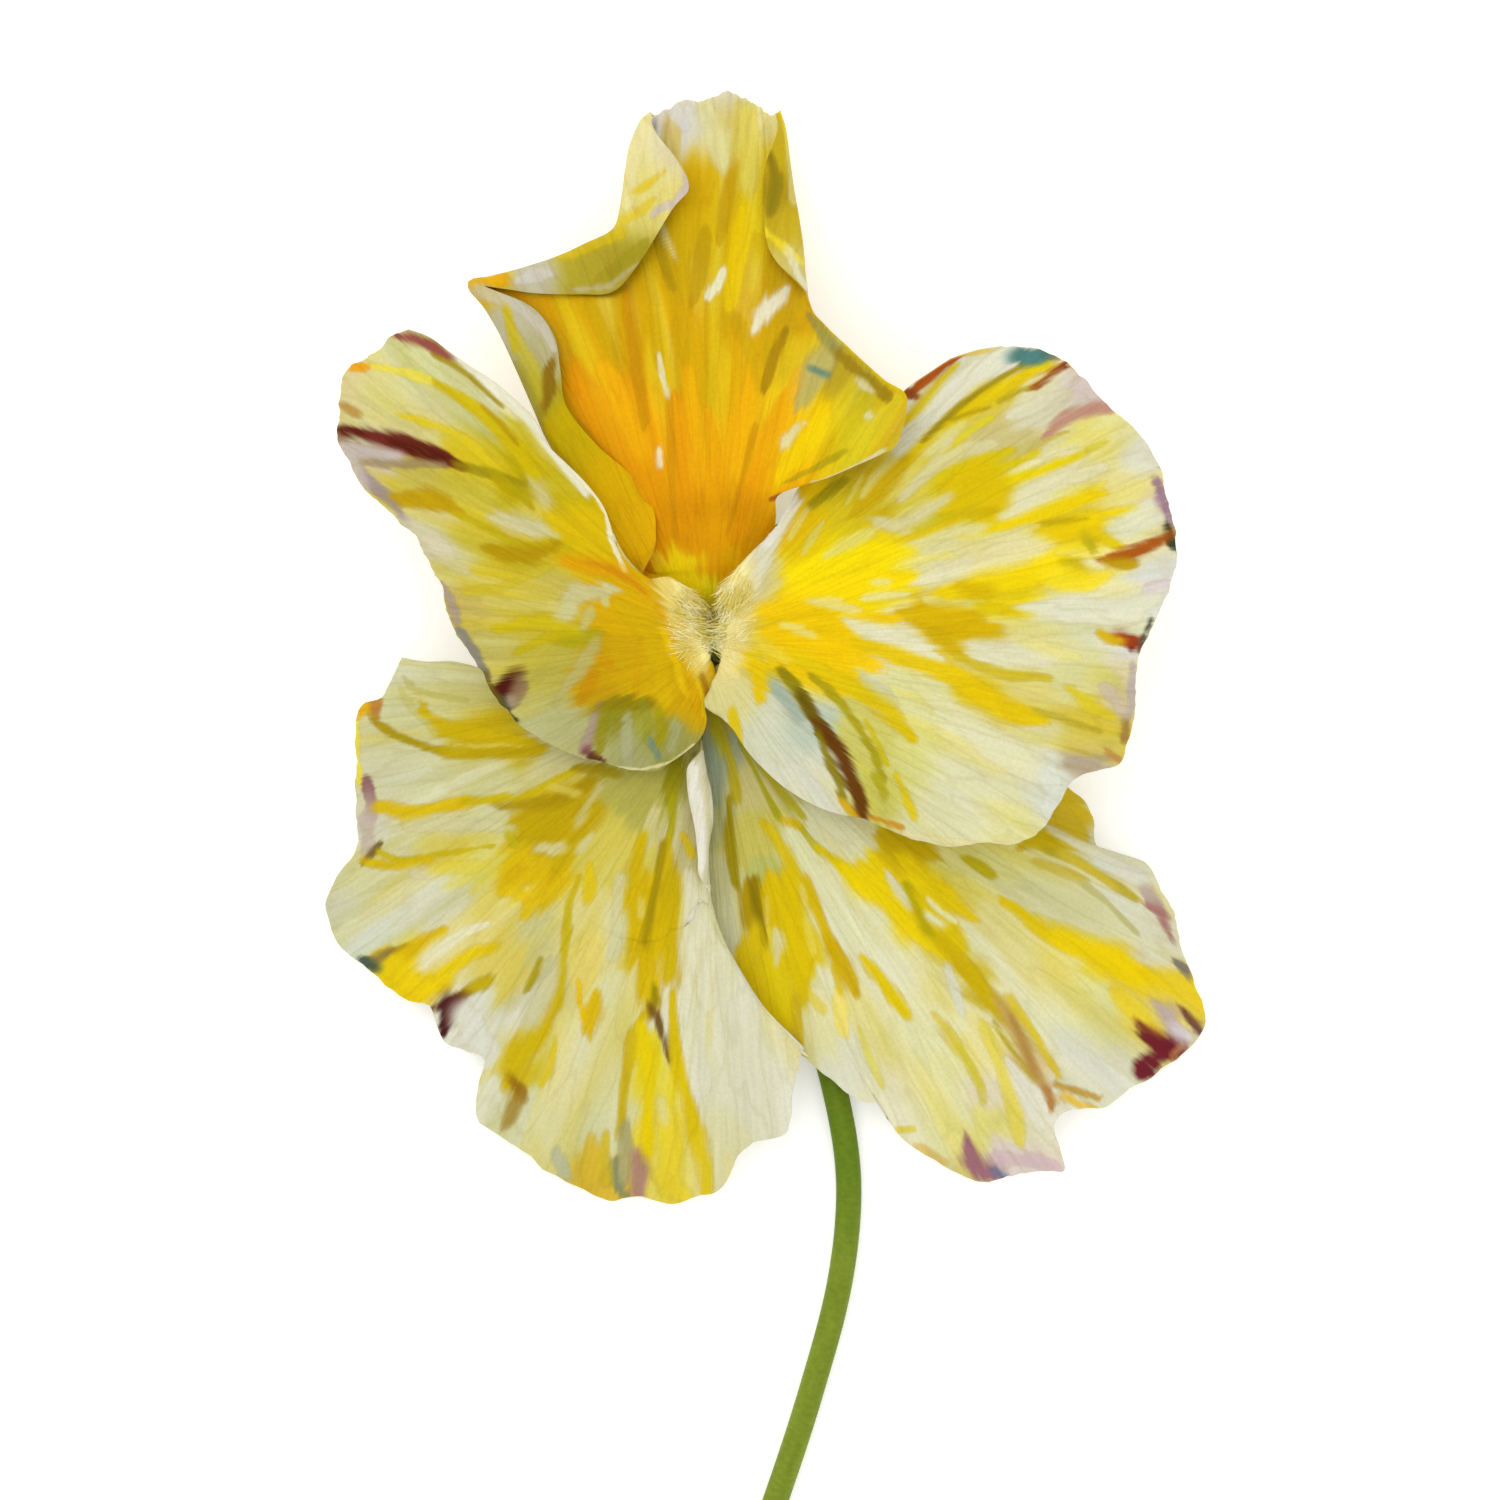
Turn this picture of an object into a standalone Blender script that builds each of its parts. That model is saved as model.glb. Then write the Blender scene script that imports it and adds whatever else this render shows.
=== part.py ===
# Pansy flower, picked and laid face up on a flat surface.
#
# The bloom is upside down, as it is shown: the petal with the spur points up the page (+Y), two bearded side
# petals stand to its left and right, and the overlapping pair of back petals hangs below (-Y). The stem leaves
# the back of the bloom, bends flat and runs away along -Y. +Z points up out of the face of the bloom.
# The origin is on the surface, under the flat belly of the stem where its bend touches down.
#
# Every petal is a thin waved sheet between four edges: the narrow claw that stands on the flower base, a left
# and a right side edge, and the outer end. A side edge may carry a roll, where the real margin turns forward
# and shows its back.
import math

import bmesh
import bpy
from mathutils import Vector

MM = 0.001

# Driving dimensions, in millimetres
BLADE_THICKNESS = 0.7
SEAT_GAP = 0.3
BLOOM_AXIS = (0.0, 3.75)
CLAW_RING_RADIUS = 2.14
CLAW_WIDTH = 1.7
BASE_TOP = 6.0
BASE_RADIUS = 2.5
CLAW_FOOT = BASE_TOP + SEAT_GAP
CLAW_LIFT = 0.12
CLAW_POINTS = 4
CLAW_SHARE = 0.17
ROLL_START = 0.2
ROLL_FULL = 0.38
LEAST_ROLL_RADIUS = 0.6
LEAST_ROLL_SHARE = 0.12
EDGE_WAVE_FADE = 2.6
END_CURVE_FADE = 1.7
STEM_RADIUS = 0.95
SEPAL_THICKNESS = 0.6
SEPAL_ANGLES = (54.0, 126.0, 198.0, 270.0, 342.0)
SPUR_RADIUS = 0.9

# How finely the sheets are divided
BLADE_COLUMNS = 34
BLADE_ROWS = 15
ROLL_COLUMNS = 7
ROLL_ARC_COLUMNS = 4
SEPAL_ROWS = 14
SEPAL_COLUMNS = 6
STEM_STEPS = 44
STEM_SIDES = 12

# Colours, linear RGB
CREAM = (0.74, 0.72, 0.42)
GOLD = (0.80, 0.42, 0.02)
STEM_GREEN = (0.16, 0.31, 0.03)
SEPAL_GREEN = (0.13, 0.27, 0.04)
STIGMA_GREEN = (0.45, 0.50, 0.08)
ANTHER_ORANGE = (0.72, 0.30, 0.03)

# How far the foot of each claw stands round the bloom's axis, in degrees from +X
CLAW_ANGLES = {
    "petal_spurred": 90.0,
    "petal_side_left": 165.0,
    "petal_side_right": 15.0,
    "petal_back_left": 240.0,
    "petal_back_right": 300.0,
}

# The edges of each petal as (x, y, z) in millimetres. A side edge starts above the claw's foot, which
# claw_corner() adds, with two points up the claw to its lip; the outer end runs on between the two side edges.
# A roll lists its free edge, one point for each point of the side edge.
SPURRED_LEFT = [
    (-1.5, 6.8, 7.9), (-3.0, 8.3, 8.9), (-5.4, 10.5, 9.2), (-8.0, 13.5, 9.4), (-10.3, 16.5, 9.5),
    (-12.2, 19.3, 9.5), (-13.3, 21.9, 9.4), (-14.4, 24.5, 9.1), (-15.7, 27.4, 8.7), (-16.9, 29.5, 8.3),
    (-18.1, 31.2, 8.0), (-16.7, 31.6, 7.6), (-14.4, 32.3, 7.2), (-11.8, 33.1, 7.0), (-9.2, 34.2, 6.8),
    (-7.3, 35.3, 6.5), (-6.8, 37.1, 5.6), (-6.5, 39.8, 4.2), (-6.2, 41.6, 3.0), (-5.4, 43.5, 1.8),
    (-4.7, 44.1, 1.3),
]
SPURRED_LEFT_ROLL = [
    (-1.2, 7.2, 8.6), (-2.8, 9.1, 9.7), (-4.1, 11.5, 10.4), (-4.4, 14.3, 10.6), (-6.2, 17.0, 10.8),
    (-8.6, 19.1, 11.0), (-10.9, 22.0, 10.9), (-11.4, 24.9, 10.8), (-11.9, 27.4, 10.4), (-13.7, 29.6, 9.8),
    (-17.1, 31.0, 9.3), (-15.3, 30.8, 9.4), (-13.3, 30.5, 9.7), (-9.9, 30.4, 9.8), (-7.3, 30.7, 9.6),
    (-5.2, 33.2, 8.9), (-3.0, 36.8, 7.6), (-1.5, 38.6, 6.4), (-2.2, 40.9, 4.9), (-3.9, 43.0, 3.0),
    (-4.4, 43.7, 2.1),
]
SPURRED_END = [
    (-3.3, 44.6, 1.0), (-2.4, 45.1, 0.8), (-0.9, 45.2, 0.6), (0.2, 45.4, 0.45), (1.2, 45.8, 0.35),
    (2.3, 45.5, 0.5), (3.4, 45.1, 0.8), (4.4, 44.4, 1.2),
]
SPURRED_RIGHT = [
    (1.5, 6.8, 7.9), (2.6, 8.3, 8.8), (3.0, 10.1, 9.4), (3.5, 12.0, 9.9), (3.9, 13.9, 10.8),
    (4.9, 15.3, 11.9), (6.5, 16.0, 12.5), (8.5, 16.6, 12.7), (10.4, 17.4, 12.7), (12.2, 18.2, 12.9),
    (13.7, 19.0, 13.0), (14.3, 20.3, 13.0), (14.6, 21.8, 12.9), (14.5, 23.0, 12.8), (13.0, 24.0, 12.4),
    (11.5, 25.3, 11.9), (10.2, 26.5, 11.3), (8.7, 27.9, 10.6), (7.5, 29.3, 9.9), (7.0, 31.5, 8.8),
    (6.8, 33.8, 7.6), (6.5, 35.9, 6.4), (6.1, 38.3, 5.0), (5.8, 40.5, 3.6), (5.5, 42.8, 2.3),
    (5.1, 44.2, 1.5),
]
SPURRED_RIGHT_ROLL = [
    (1.2, 7.2, 8.6), (2.1, 8.7, 9.6), (2.4, 10.4, 10.2), (2.9, 12.3, 10.7), (3.3, 14.2, 11.7),
    (4.4, 15.8, 12.8), (6.1, 16.7, 13.3), (8.2, 17.3, 13.5), (10.1, 18.1, 13.4), (11.8, 18.9, 13.6),
    (13.0, 19.6, 13.7), (13.5, 20.5, 13.7), (13.7, 21.6, 13.6), (13.5, 22.4, 13.5), (12.4, 23.4, 13.1),
    (10.9, 24.6, 12.6), (9.6, 25.8, 12.2), (8.1, 27.4, 11.7), (6.7, 29.5, 11.1), (5.8, 31.5, 10.3),
    (4.3, 33.8, 9.2), (3.9, 35.9, 8.0), (3.8, 38.3, 6.5), (3.9, 40.6, 5.0), (4.5, 42.7, 3.5),
    (4.7, 43.8, 2.3),
]

SIDE_LEFT_UPPER = [
    (-2.0, 5.8, 8.6), (-0.9, 7.3, 10.4), (-2.0, 8.4, 11.2), (-3.3, 9.2, 11.4), (-4.7, 9.1, 11.7),
    (-5.9, 9.8, 12.0), (-6.9, 11.3, 12.2), (-7.5, 12.8, 12.3), (-8.2, 14.6, 12.3), (-9.5, 16.3, 12.3),
    (-11.0, 17.8, 12.2), (-12.3, 19.1, 12.2), (-13.3, 21.0, 12.2), (-14.8, 22.5, 12.3), (-16.3, 23.8, 12.2),
    (-17.8, 24.8, 12.0), (-19.7, 26.1, 11.6), (-21.2, 27.2, 11.2), (-22.8, 27.8, 10.8),
]
SIDE_LEFT_END = [
    (-24.2, 27.2, 10.4), (-25.0, 26.3, 10.2), (-26.3, 25.5, 10.4), (-27.3, 25.0, 10.8), (-27.8, 23.6, 10.8),
    (-27.9, 21.8, 10.2), (-28.0, 19.5, 9.6), (-27.2, 17.9, 9.4), (-26.3, 16.1, 9.8), (-24.9, 14.8, 10.2),
    (-23.6, 13.5, 10.4), (-22.3, 12.4, 10.0), (-21.2, 10.5, 9.4), (-20.3, 8.8, 9.2), (-19.9, 7.1, 9.6),
    (-19.4, 5.6, 10.0), (-18.4, 3.8, 10.2), (-17.4, 2.3, 10.0), (-16.4, 0.6, 9.6), (-15.3, -0.9, 9.4),
    (-13.7, -2.3, 9.6), (-11.8, -3.5, 9.8), (-9.9, -4.3, 10.0), (-8.0, -4.7, 10.2), (-5.8, -5.3, 10.4),
]
SIDE_LEFT_LOWER = [
    (-2.5, 2.6, 8.6), (-0.7, 1.1, 10.0), (-0.5, -0.4, 10.6), (-0.4, -1.7, 10.9), (-0.9, -2.9, 10.9),
    (-2.1, -4.0, 10.7), (-4.1, -5.3, 10.4),
]

SIDE_RIGHT_UPPER = [
    (2.0, 5.8, 8.6), (0.9, 7.3, 10.4), (2.0, 8.7, 11.4), (2.7, 9.6, 11.7), (3.6, 11.2, 11.8),
    (4.7, 12.8, 11.5), (5.6, 14.3, 10.9), (6.4, 15.8, 10.5), (7.6, 17.3, 10.4), (10.3, 19.4, 10.5),
    (13.0, 21.6, 10.7), (14.7, 23.4, 10.9), (16.4, 24.5, 11.0), (17.9, 25.4, 11.0),
]
SIDE_RIGHT_END = [
    (19.7, 26.2, 10.4), (22.0, 26.5, 9.8), (24.2, 26.3, 10.2), (26.1, 25.6, 11.0), (27.8, 24.2, 11.2),
    (29.3, 22.5, 10.6), (31.4, 20.6, 10.0), (32.7, 19.1, 9.4), (33.6, 17.3, 9.2), (34.2, 15.0, 9.6),
    (34.7, 12.8, 10.2), (34.9, 10.9, 10.4), (34.4, 8.6, 9.8), (33.5, 6.4, 9.0), (32.3, 4.1, 8.6),
    (31.8, 2.3, 9.0), (31.7, 0.0, 9.6), (31.4, -2.6, 9.4), (30.5, -4.7, 8.8), (29.0, -5.3, 9.2),
    (27.2, -5.9, 9.8), (26.1, -7.5, 10.0), (25.0, -9.4, 9.4), (22.7, -10.8, 9.0), (20.5, -10.7, 9.2),
    (17.9, -11.0, 9.6), (15.6, -10.5, 9.8), (13.4, -9.4, 10.0), (11.5, -8.9, 10.2),
]
SIDE_RIGHT_LOWER = [
    (2.5, 2.6, 8.6), (0.7, 1.3, 10.0), (0.5, 0.4, 10.5), (1.0, -0.8, 10.8), (1.7, -2.3, 11.0),
    (2.7, -3.9, 11.0), (4.0, -5.3, 11.0), (5.5, -6.6, 10.8), (7.7, -7.9, 10.6), (10.0, -8.6, 10.4),
]

BACK_LEFT_UPPER = [
    (-2.4, 1.8, 8.2), (-3.9, 0.8, 8.8), (-6.9, 0.4, 8.6), (-10.7, 0.8, 7.7), (-14.4, 1.5, 6.6),
    (-17.0, 2.3, 5.6), (-19.3, 2.9, 4.8), (-21.5, 2.9, 4.2), (-23.3, 3.2, 3.6),
]
BACK_LEFT_END = [
    (-24.0, 1.4, 3.2), (-24.9, 0.0, 3.4), (-26.3, -0.6, 3.8), (-26.6, -1.9, 3.8), (-26.6, -4.5, 3.0),
    (-26.6, -7.5, 2.0), (-26.4, -10.1, 1.4), (-26.6, -11.6, 1.2), (-27.8, -13.3, 0.8), (-28.8, -15.2, 0.4),
    (-28.4, -17.1, 0.35), (-27.3, -18.9, 0.6), (-25.8, -20.4, 1.2), (-24.2, -21.6, 1.9), (-22.5, -22.7, 2.6),
    (-20.9, -23.3, 3.0), (-20.4, -24.6, 2.8), (-19.7, -26.0, 2.2), (-18.0, -26.6, 1.6), (-16.7, -27.3, 1.4),
    (-17.1, -29.3, 1.4), (-17.2, -31.7, 1.2), (-15.9, -32.7, 1.4), (-14.0, -34.0, 2.0), (-11.8, -35.8, 2.4),
    (-9.2, -37.2, 2.2), (-7.1, -38.0, 1.6), (-5.0, -37.7, 1.4), (-2.8, -38.3, 1.6), (-0.9, -37.8, 2.2),
    (1.0, -37.1, 2.8), (2.1, -35.6, 3.0), (3.0, -34.0, 2.8), (5.5, -33.4, 3.0), (6.3, -32.6, 3.6),
    (6.5, -30.4, 4.4), (7.0, -28.4, 5.0),
]
BACK_LEFT_INNER = [
    (-0.5, 0.9, 8.2), (-0.6, -1.1, 8.8), (-0.8, -2.6, 8.9), (-0.6, -4.9, 8.8), (-0.2, -7.1, 8.6),
    (-0.1, -9.0, 8.4), (-0.4, -10.9, 8.0), (-0.4, -12.9, 7.8), (0.0, -15.4, 7.5), (0.9, -17.9, 7.2),
    (2.1, -20.1, 6.8), (3.8, -22.9, 6.2), (5.5, -24.9, 5.6), (7.2, -26.7, 5.2),
]
BACK_LEFT_INNER_ROLL = [
    (-1.0, 1.0, 9.3), (-1.3, -0.9, 9.9), (-1.7, -3.0, 10.0), (-1.9, -4.9, 9.9), (-1.8, -7.1, 9.8),
    (-1.3, -9.5, 9.6), (-1.1, -11.4, 9.1), (-0.9, -13.2, 8.7), (-0.5, -15.6, 8.3), (0.4, -18.2, 8.0),
    (1.6, -20.4, 7.6), (3.3, -23.2, 7.0), (5.0, -25.2, 6.4), (6.8, -26.9, 6.0),
]

BACK_RIGHT_INNER = [
    (0.3, 0.7, 7.2), (-0.5, -3.0, 7.4), (-1.6, -6.8, 7.1), (-2.0, -10.5, 6.5), (-1.7, -14.3, 6.0),
    (-0.3, -18.0, 5.4), (1.1, -20.6, 5.0),
]
BACK_RIGHT_END = [
    (2.7, -22.8, 4.6), (4.9, -25.0, 4.2), (7.0, -26.8, 3.9), (9.2, -28.7, 3.6), (11.3, -30.2, 3.2),
    (12.4, -30.2, 3.1), (13.3, -31.5, 2.8),
    (14.3, -32.9, 2.4), (16.4, -34.3, 2.0), (18.6, -35.6, 1.6), (20.5, -36.2, 1.4), (22.5, -35.7, 1.6),
    (24.6, -35.3, 2.0), (26.4, -35.3, 2.2), (26.1, -33.8, 2.6), (25.6, -31.9, 3.0), (26.9, -30.8, 2.8),
    (29.5, -30.5, 2.2), (31.4, -29.1, 1.8), (33.6, -27.8, 1.2), (35.5, -26.4, 0.6), (37.0, -24.4, 0.35),
    (36.5, -22.1, 0.6), (35.7, -19.9, 1.2), (35.0, -18.0, 1.8), (34.7, -16.1, 2.4), (33.6, -14.3, 2.8),
    (32.7, -12.6, 2.8), (30.6, -11.8, 2.6), (28.8, -10.9, 2.2), (28.7, -9.4, 2.2), (27.8, -7.5, 2.6),
]
BACK_RIGHT_UPPER = [
    (2.3, 1.6, 7.6), (3.6, -0.4, 8.1), (7.4, -1.9, 8.0), (11.9, -3.4, 7.1), (16.4, -4.4, 6.2),
    (20.9, -5.1, 5.0), (26.5, -6.4, 3.2),
]

# The middle line of the stem from the flower base to its cut end, in millimetres
STEM_LINE = [
    (0.0, 3.75, 4.4), (0.0, 3.6, 3.3), (0.0, 3.0, 2.1), (0.0, 1.9, 1.2), (0.0, 0.6, 0.85), (0.1, -1.0, 0.85),
    (0.9, -5.0, 0.85), (3.9, -14.0, 0.85), (7.4, -23.0, 0.85), (9.6, -31.0, 0.85), (10.3, -37.0, 0.85),
    (9.6, -44.0, 0.85), (7.5, -52.0, 0.85), (4.9, -60.0, 0.85), (1.6, -69.0, 0.85), (-2.0, -78.0, 0.85),
    (-5.5, -86.0, 0.85),
]

# Turned profiles as (radius, z), in millimetres
BASE_PROFILE = [
    (0.0, 3.6), (0.85, 3.7), (1.25, 4.3), (1.75, 4.8), (2.2, 5.3), (BASE_RADIUS, 5.8), (BASE_RADIUS, BASE_TOP),
    (0.0, BASE_TOP),
]
PISTIL_PROFILE = [
    (0.0, CLAW_FOOT), (0.8, CLAW_FOOT), (0.9, 6.9), (0.85, 7.4), (0.6, 7.9), (0.35, 8.2), (0.35, 9.1),
    (0.6, 9.35), (0.75, 9.7), (0.7, 10.1), (0.4, 10.35), (0.0, 10.45),
]
STAMEN_PROFILE = [
    (1.38, CLAW_FOOT), (1.38, 7.4), (1.3, 8.1), (1.0, 8.8), (0.68, 8.8), (0.9, 8.2), (1.2, 7.6),
    (1.2, CLAW_FOOT),
]

# The middle line of the spur, in millimetres
SPUR_LINE = [(0.0, 6.5, 7.2), (0.0, 7.6, 6.4), (0.0, 8.5, 5.2), (0.0, 9.1, 3.9), (0.0, 9.4, 3.3)]

# A sepal from the tip of its ear to its point: distance from the bloom's axis, height and half width, in mm
SEPAL_PROFILE = [
    (3.4, 2.9, 0.8), (2.95, 3.8, 1.15), (2.75, 4.6, 1.1), (3.1, 5.2, 1.15), (4.1, 5.6, 1.4), (5.8, 5.7, 1.95),
    (8.2, 5.4, 2.05), (10.7, 4.8, 1.6), (12.9, 4.2, 0.85), (14.3, 3.8, 0.3),
]


def clear_scene():
    for obj in list(bpy.data.objects):
        bpy.data.objects.remove(obj, do_unlink=True)


def new_collection(name):
    collection = bpy.data.collections.new(name)
    bpy.context.scene.collection.children.link(collection)
    return collection


def material(name, colour, roughness=0.6):
    made = bpy.data.materials.new(name)
    made.use_nodes = True
    shader = made.node_tree.nodes["Principled BSDF"]
    shader.inputs["Base Color"].default_value = (*colour, 1.0)
    shader.inputs["Roughness"].default_value = roughness
    shader.inputs["Metallic"].default_value = 0.0
    return made


def add_object(name, mesh, collection, finish=None):
    obj = bpy.data.objects.new(name, mesh)
    collection.objects.link(obj)
    if finish:
        mesh.materials.append(finish)
    return obj


def chord_marks(points):
    """Running length along the points, from 0 to 1."""
    marks = [0.0]
    for a, b in zip(points, points[1:]):
        marks.append(marks[-1] + (b - a).length)
    return [mark / marks[-1] for mark in marks]


def smooth_at(points, marks, t):
    """The point at t on the smooth curve that passes through the points at their marks."""
    last = len(points) - 1
    i = 0
    while i < last - 1 and t > marks[i + 1]:
        i += 1

    def slope(k):
        low, high = max(k - 1, 0), min(k + 1, last)
        return (points[high] - points[low]) / (marks[high] - marks[low])

    span = marks[i + 1] - marks[i]
    s = min(max((t - marks[i]) / span, 0.0), 1.0)
    start, end = points[i], points[i + 1]
    return (
        start * (2 * s**3 - 3 * s**2 + 1)
        + slope(i) * span * (s**3 - 2 * s**2 + s)
        + end * (3 * s**2 - 2 * s**3)
        + slope(i + 1) * span * (s**3 - s**2)
    )


def claw_corner(name, side):
    """A corner of the claw's foot. side is +1 for the corner further round, counted anticlockwise."""
    half_angle = math.degrees(CLAW_WIDTH / 2 / CLAW_RING_RADIUS)
    angle = math.radians(CLAW_ANGLES[name] + side * half_angle)
    return Vector((
        BLOOM_AXIS[0] + CLAW_RING_RADIUS * math.cos(angle),
        BLOOM_AXIS[1] + CLAW_RING_RADIUS * math.sin(angle),
        CLAW_FOOT + CLAW_LIFT,
    ))


def side_marks(points):
    """Marks for a side edge: the claw takes a fixed share, so that both sides leave it together."""
    claw = [CLAW_SHARE * i / (CLAW_POINTS - 1) for i in range(CLAW_POINTS)]
    blade = chord_marks(points[CLAW_POINTS - 1:])
    return claw + [CLAW_SHARE + (1 - CLAW_SHARE) * mark for mark in blade[1:]]


def ease(t):
    t = min(max(t, 0.0), 1.0)
    return t * t * (3 - 2 * t)


def rolled_margin(fold, free, v):
    """Points of a margin that rolls forward: the blade's edge, then the roll out to the free edge.

    fold is where the roll stands furthest out, free is its free edge. The roll opens out and fades near the claw,
    and opens a little at the outer end.
    """
    share = ease((v - ROLL_START) / (ROLL_FULL - ROLL_START))
    if share < LEAST_ROLL_SHARE:
        return fold, [fold] * ROLL_COLUMNS
    inward = Vector((free.x - fold.x, free.y - fold.y, 0))
    reach = inward.length
    inward.normalize()
    radius = max((free.z - fold.z) / 2, LEAST_ROLL_RADIUS)
    turn = math.pi * share * (1 - 0.35 * ease((v - 0.85) / 0.15))
    width = (math.pi * radius + max(reach - radius, 0.15)) * share
    arc = min(radius * turn, width)
    straight = width - arc
    furthest = radius if turn > math.pi / 2 else radius * math.sin(turn) + straight * math.cos(turn)
    start = fold + inward * furthest
    points = []
    for k in range(1, ROLL_COLUMNS + 1):
        bend = turn * min(k / ROLL_ARC_COLUMNS, 1.0)
        along = straight * max(k - ROLL_ARC_COLUMNS, 0) / (ROLL_COLUMNS - ROLL_ARC_COLUMNS)
        out = radius * math.sin(bend) + along * math.cos(bend)
        up = radius * (1 - math.cos(bend)) + along * math.sin(bend)
        points.append(start - inward * out + Vector((0, 0, up)))
    return start, points


def petal_rows(name, left, end, right, left_roll, right_roll, crown, hollow):
    """Rows of points for a petal's sheet, from the claw to the outer end, each from left to right.

    left and right are as seen from the bloom's middle. crown lifts the middle of the blade, and hollow sets the
    middle of the lip back from the throat.
    """
    corners = [claw_corner(name, 1), claw_corner(name, -1)]
    outward = Vector((math.cos(math.radians(CLAW_ANGLES[name])), math.sin(math.radians(CLAW_ANGLES[name])), 0))
    edges = []
    for corner, points in zip(corners, (left, right)):
        lip = Vector(points[0])
        upright = corner.lerp(lip, 0.15)
        upright.z = corner.z + 0.5 * (lip.z - corner.z)
        edges.append([corner, upright] + [Vector(p) for p in points])
    marks = [side_marks(edge) for edge in edges]
    free_edges = []
    for edge, roll in zip(edges, (left_roll, right_roll)):
        free_edges.append(edge[:2] + [Vector(p) for p in roll] if roll else None)
    outer = [edges[0][-1]] + [Vector(p) for p in end] + [edges[1][-1]]
    outer_marks = chord_marks(outer)
    far = [smooth_at(outer, outer_marks, i / BLADE_COLUMNS) for i in range(BLADE_COLUMNS + 1)]
    calm = list(far)
    for _ in range(60):
        middle = [(a + b * 2 + c) / 4 for a, b, c in zip(calm, calm[1:], calm[2:])]
        calm = [calm[0]] + middle + [calm[-1]]

    rows = []
    for j in range(BLADE_ROWS + 1):
        v = (j / BLADE_ROWS) ** 1.2
        sides, rolls = [], []
        for side in (0, 1):
            spot = smooth_at(edges[side], marks[side], v)
            rolled = []
            if free_edges[side]:
                spot, rolled = rolled_margin(spot, smooth_at(free_edges[side], marks[side], v), v)
            sides.append(spot)
            rolls.append(rolled)
        row = []
        lip = math.sin(math.pi * min(v / 0.3, 1.0)) ** 2
        for i in range(BLADE_COLUMNS + 1):
            u = i / BLADE_COLUMNS
            arch = 4 * u * (1 - u)
            point = sides[0].lerp(sides[1], u)
            point += (calm[i] - outer[0].lerp(outer[-1], u)) * v ** END_CURVE_FADE
            point += (far[i] - calm[i]) * v ** EDGE_WAVE_FADE
            point.z += crown * arch * math.sin(math.pi * v)
            row.append(point + outward * hollow * arch**1.5 * lip)
        rows.append(rolls[0][::-1] + row + rolls[1])
    return rows


def sheet_mesh(name, rows):
    """An open sheet through the rows of points, its front facing up. Points that coincide become one."""
    verts, index = [], []
    for row in rows:
        numbers = []
        for point in row:
            if numbers and (point * MM - verts[-1]).length < 1e-7:
                numbers.append(numbers[-1])
                continue
            numbers.append(len(verts))
            verts.append(point * MM)
        index.append(numbers)
    faces = []
    for low, high in zip(index, index[1:]):
        for i in range(len(low) - 1):
            corners = tuple(dict.fromkeys((low[i], low[i + 1], high[i + 1], high[i])))
            if len(corners) > 2:
                faces.append(corners)
    mesh = bpy.data.meshes.new(name)
    mesh.from_pydata(verts, [], faces)
    return mesh


def thicken(obj, thickness=BLADE_THICKNESS):
    """Splits the sheet alike on both faces, then gives it its thickness."""
    obj.modifiers.new("split", "TRIANGULATE")
    solid = obj.modifiers.new("thickness", "SOLIDIFY")
    solid.thickness = thickness * MM
    solid.offset = 0.0


def petal(name, finish, collection, left, end, right, left_roll=None, right_roll=None, crown=0.6, hollow=0.0):
    rows = petal_rows(name, left, end, right, left_roll, right_roll, crown, hollow)
    obj = add_object(name, sheet_mesh(name, rows), collection, finish)
    thicken(obj)
    return obj


def sepal(number, angle, finish, collection):
    """One sepal: its ear hangs beside the stem, it meets the flower base, then it spreads under the petals."""
    turn = math.radians(angle)
    out = Vector((math.cos(turn), math.sin(turn), 0))
    across = Vector((-math.sin(turn), math.cos(turn), 0))
    middle = [Vector((r, 0, z)) for r, z, half in SEPAL_PROFILE]
    widths = [Vector((half, 0, 0)) for r, z, half in SEPAL_PROFILE]
    marks = chord_marks(middle)
    rows = []
    for j in range(SEPAL_ROWS + 1):
        t = j / SEPAL_ROWS
        spot, half = smooth_at(middle, marks, t), smooth_at(widths, marks, t).x
        row = []
        for i in range(SEPAL_COLUMNS + 1):
            side = 1 - 2 * i / SEPAL_COLUMNS
            # The sides lift a little either side of the middle rib, and the edge is gently waved.
            lift = 0.16 * abs(side) * half + 0.1 * side * math.sin(9 * t + 2 * number)
            centre = Vector((*BLOOM_AXIS, 0)) + out * spot.x + across * side * half
            row.append(centre + Vector((0, 0, spot.z + lift * min(1.0, 2.5 * t))))
        rows.append(row)
    obj = add_object(f"sepal_{number}", sheet_mesh("sepal", rows), collection, finish)
    thicken(obj, SEPAL_THICKNESS)
    return obj


def welded_tube(name, points, radius, sides, collection):
    """A round tube along the points with closed ends, as one welded mesh."""
    curve = bpy.data.curves.new(name, "CURVE")
    curve.dimensions = "3D"
    curve.bevel_depth = radius * MM
    curve.bevel_resolution = (sides - 4) // 2
    curve.use_fill_caps = True
    spline = curve.splines.new("POLY")
    spline.points.add(len(points) - 1)
    for spot, point in zip(spline.points, points):
        spot.co = (*(point * MM), 1.0)
    guide = bpy.data.objects.new(name + "_guide", curve)
    collection.objects.link(guide)
    graph = bpy.context.evaluated_depsgraph_get()
    mesh = bpy.data.meshes.new_from_object(guide.evaluated_get(graph))
    bpy.data.objects.remove(guide, do_unlink=True)
    shell = bmesh.new()
    shell.from_mesh(mesh)
    bmesh.ops.remove_doubles(shell, verts=shell.verts, dist=0.00001)
    bmesh.ops.recalc_face_normals(shell, faces=shell.faces)
    shell.to_mesh(mesh)
    shell.free()
    return mesh


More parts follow.
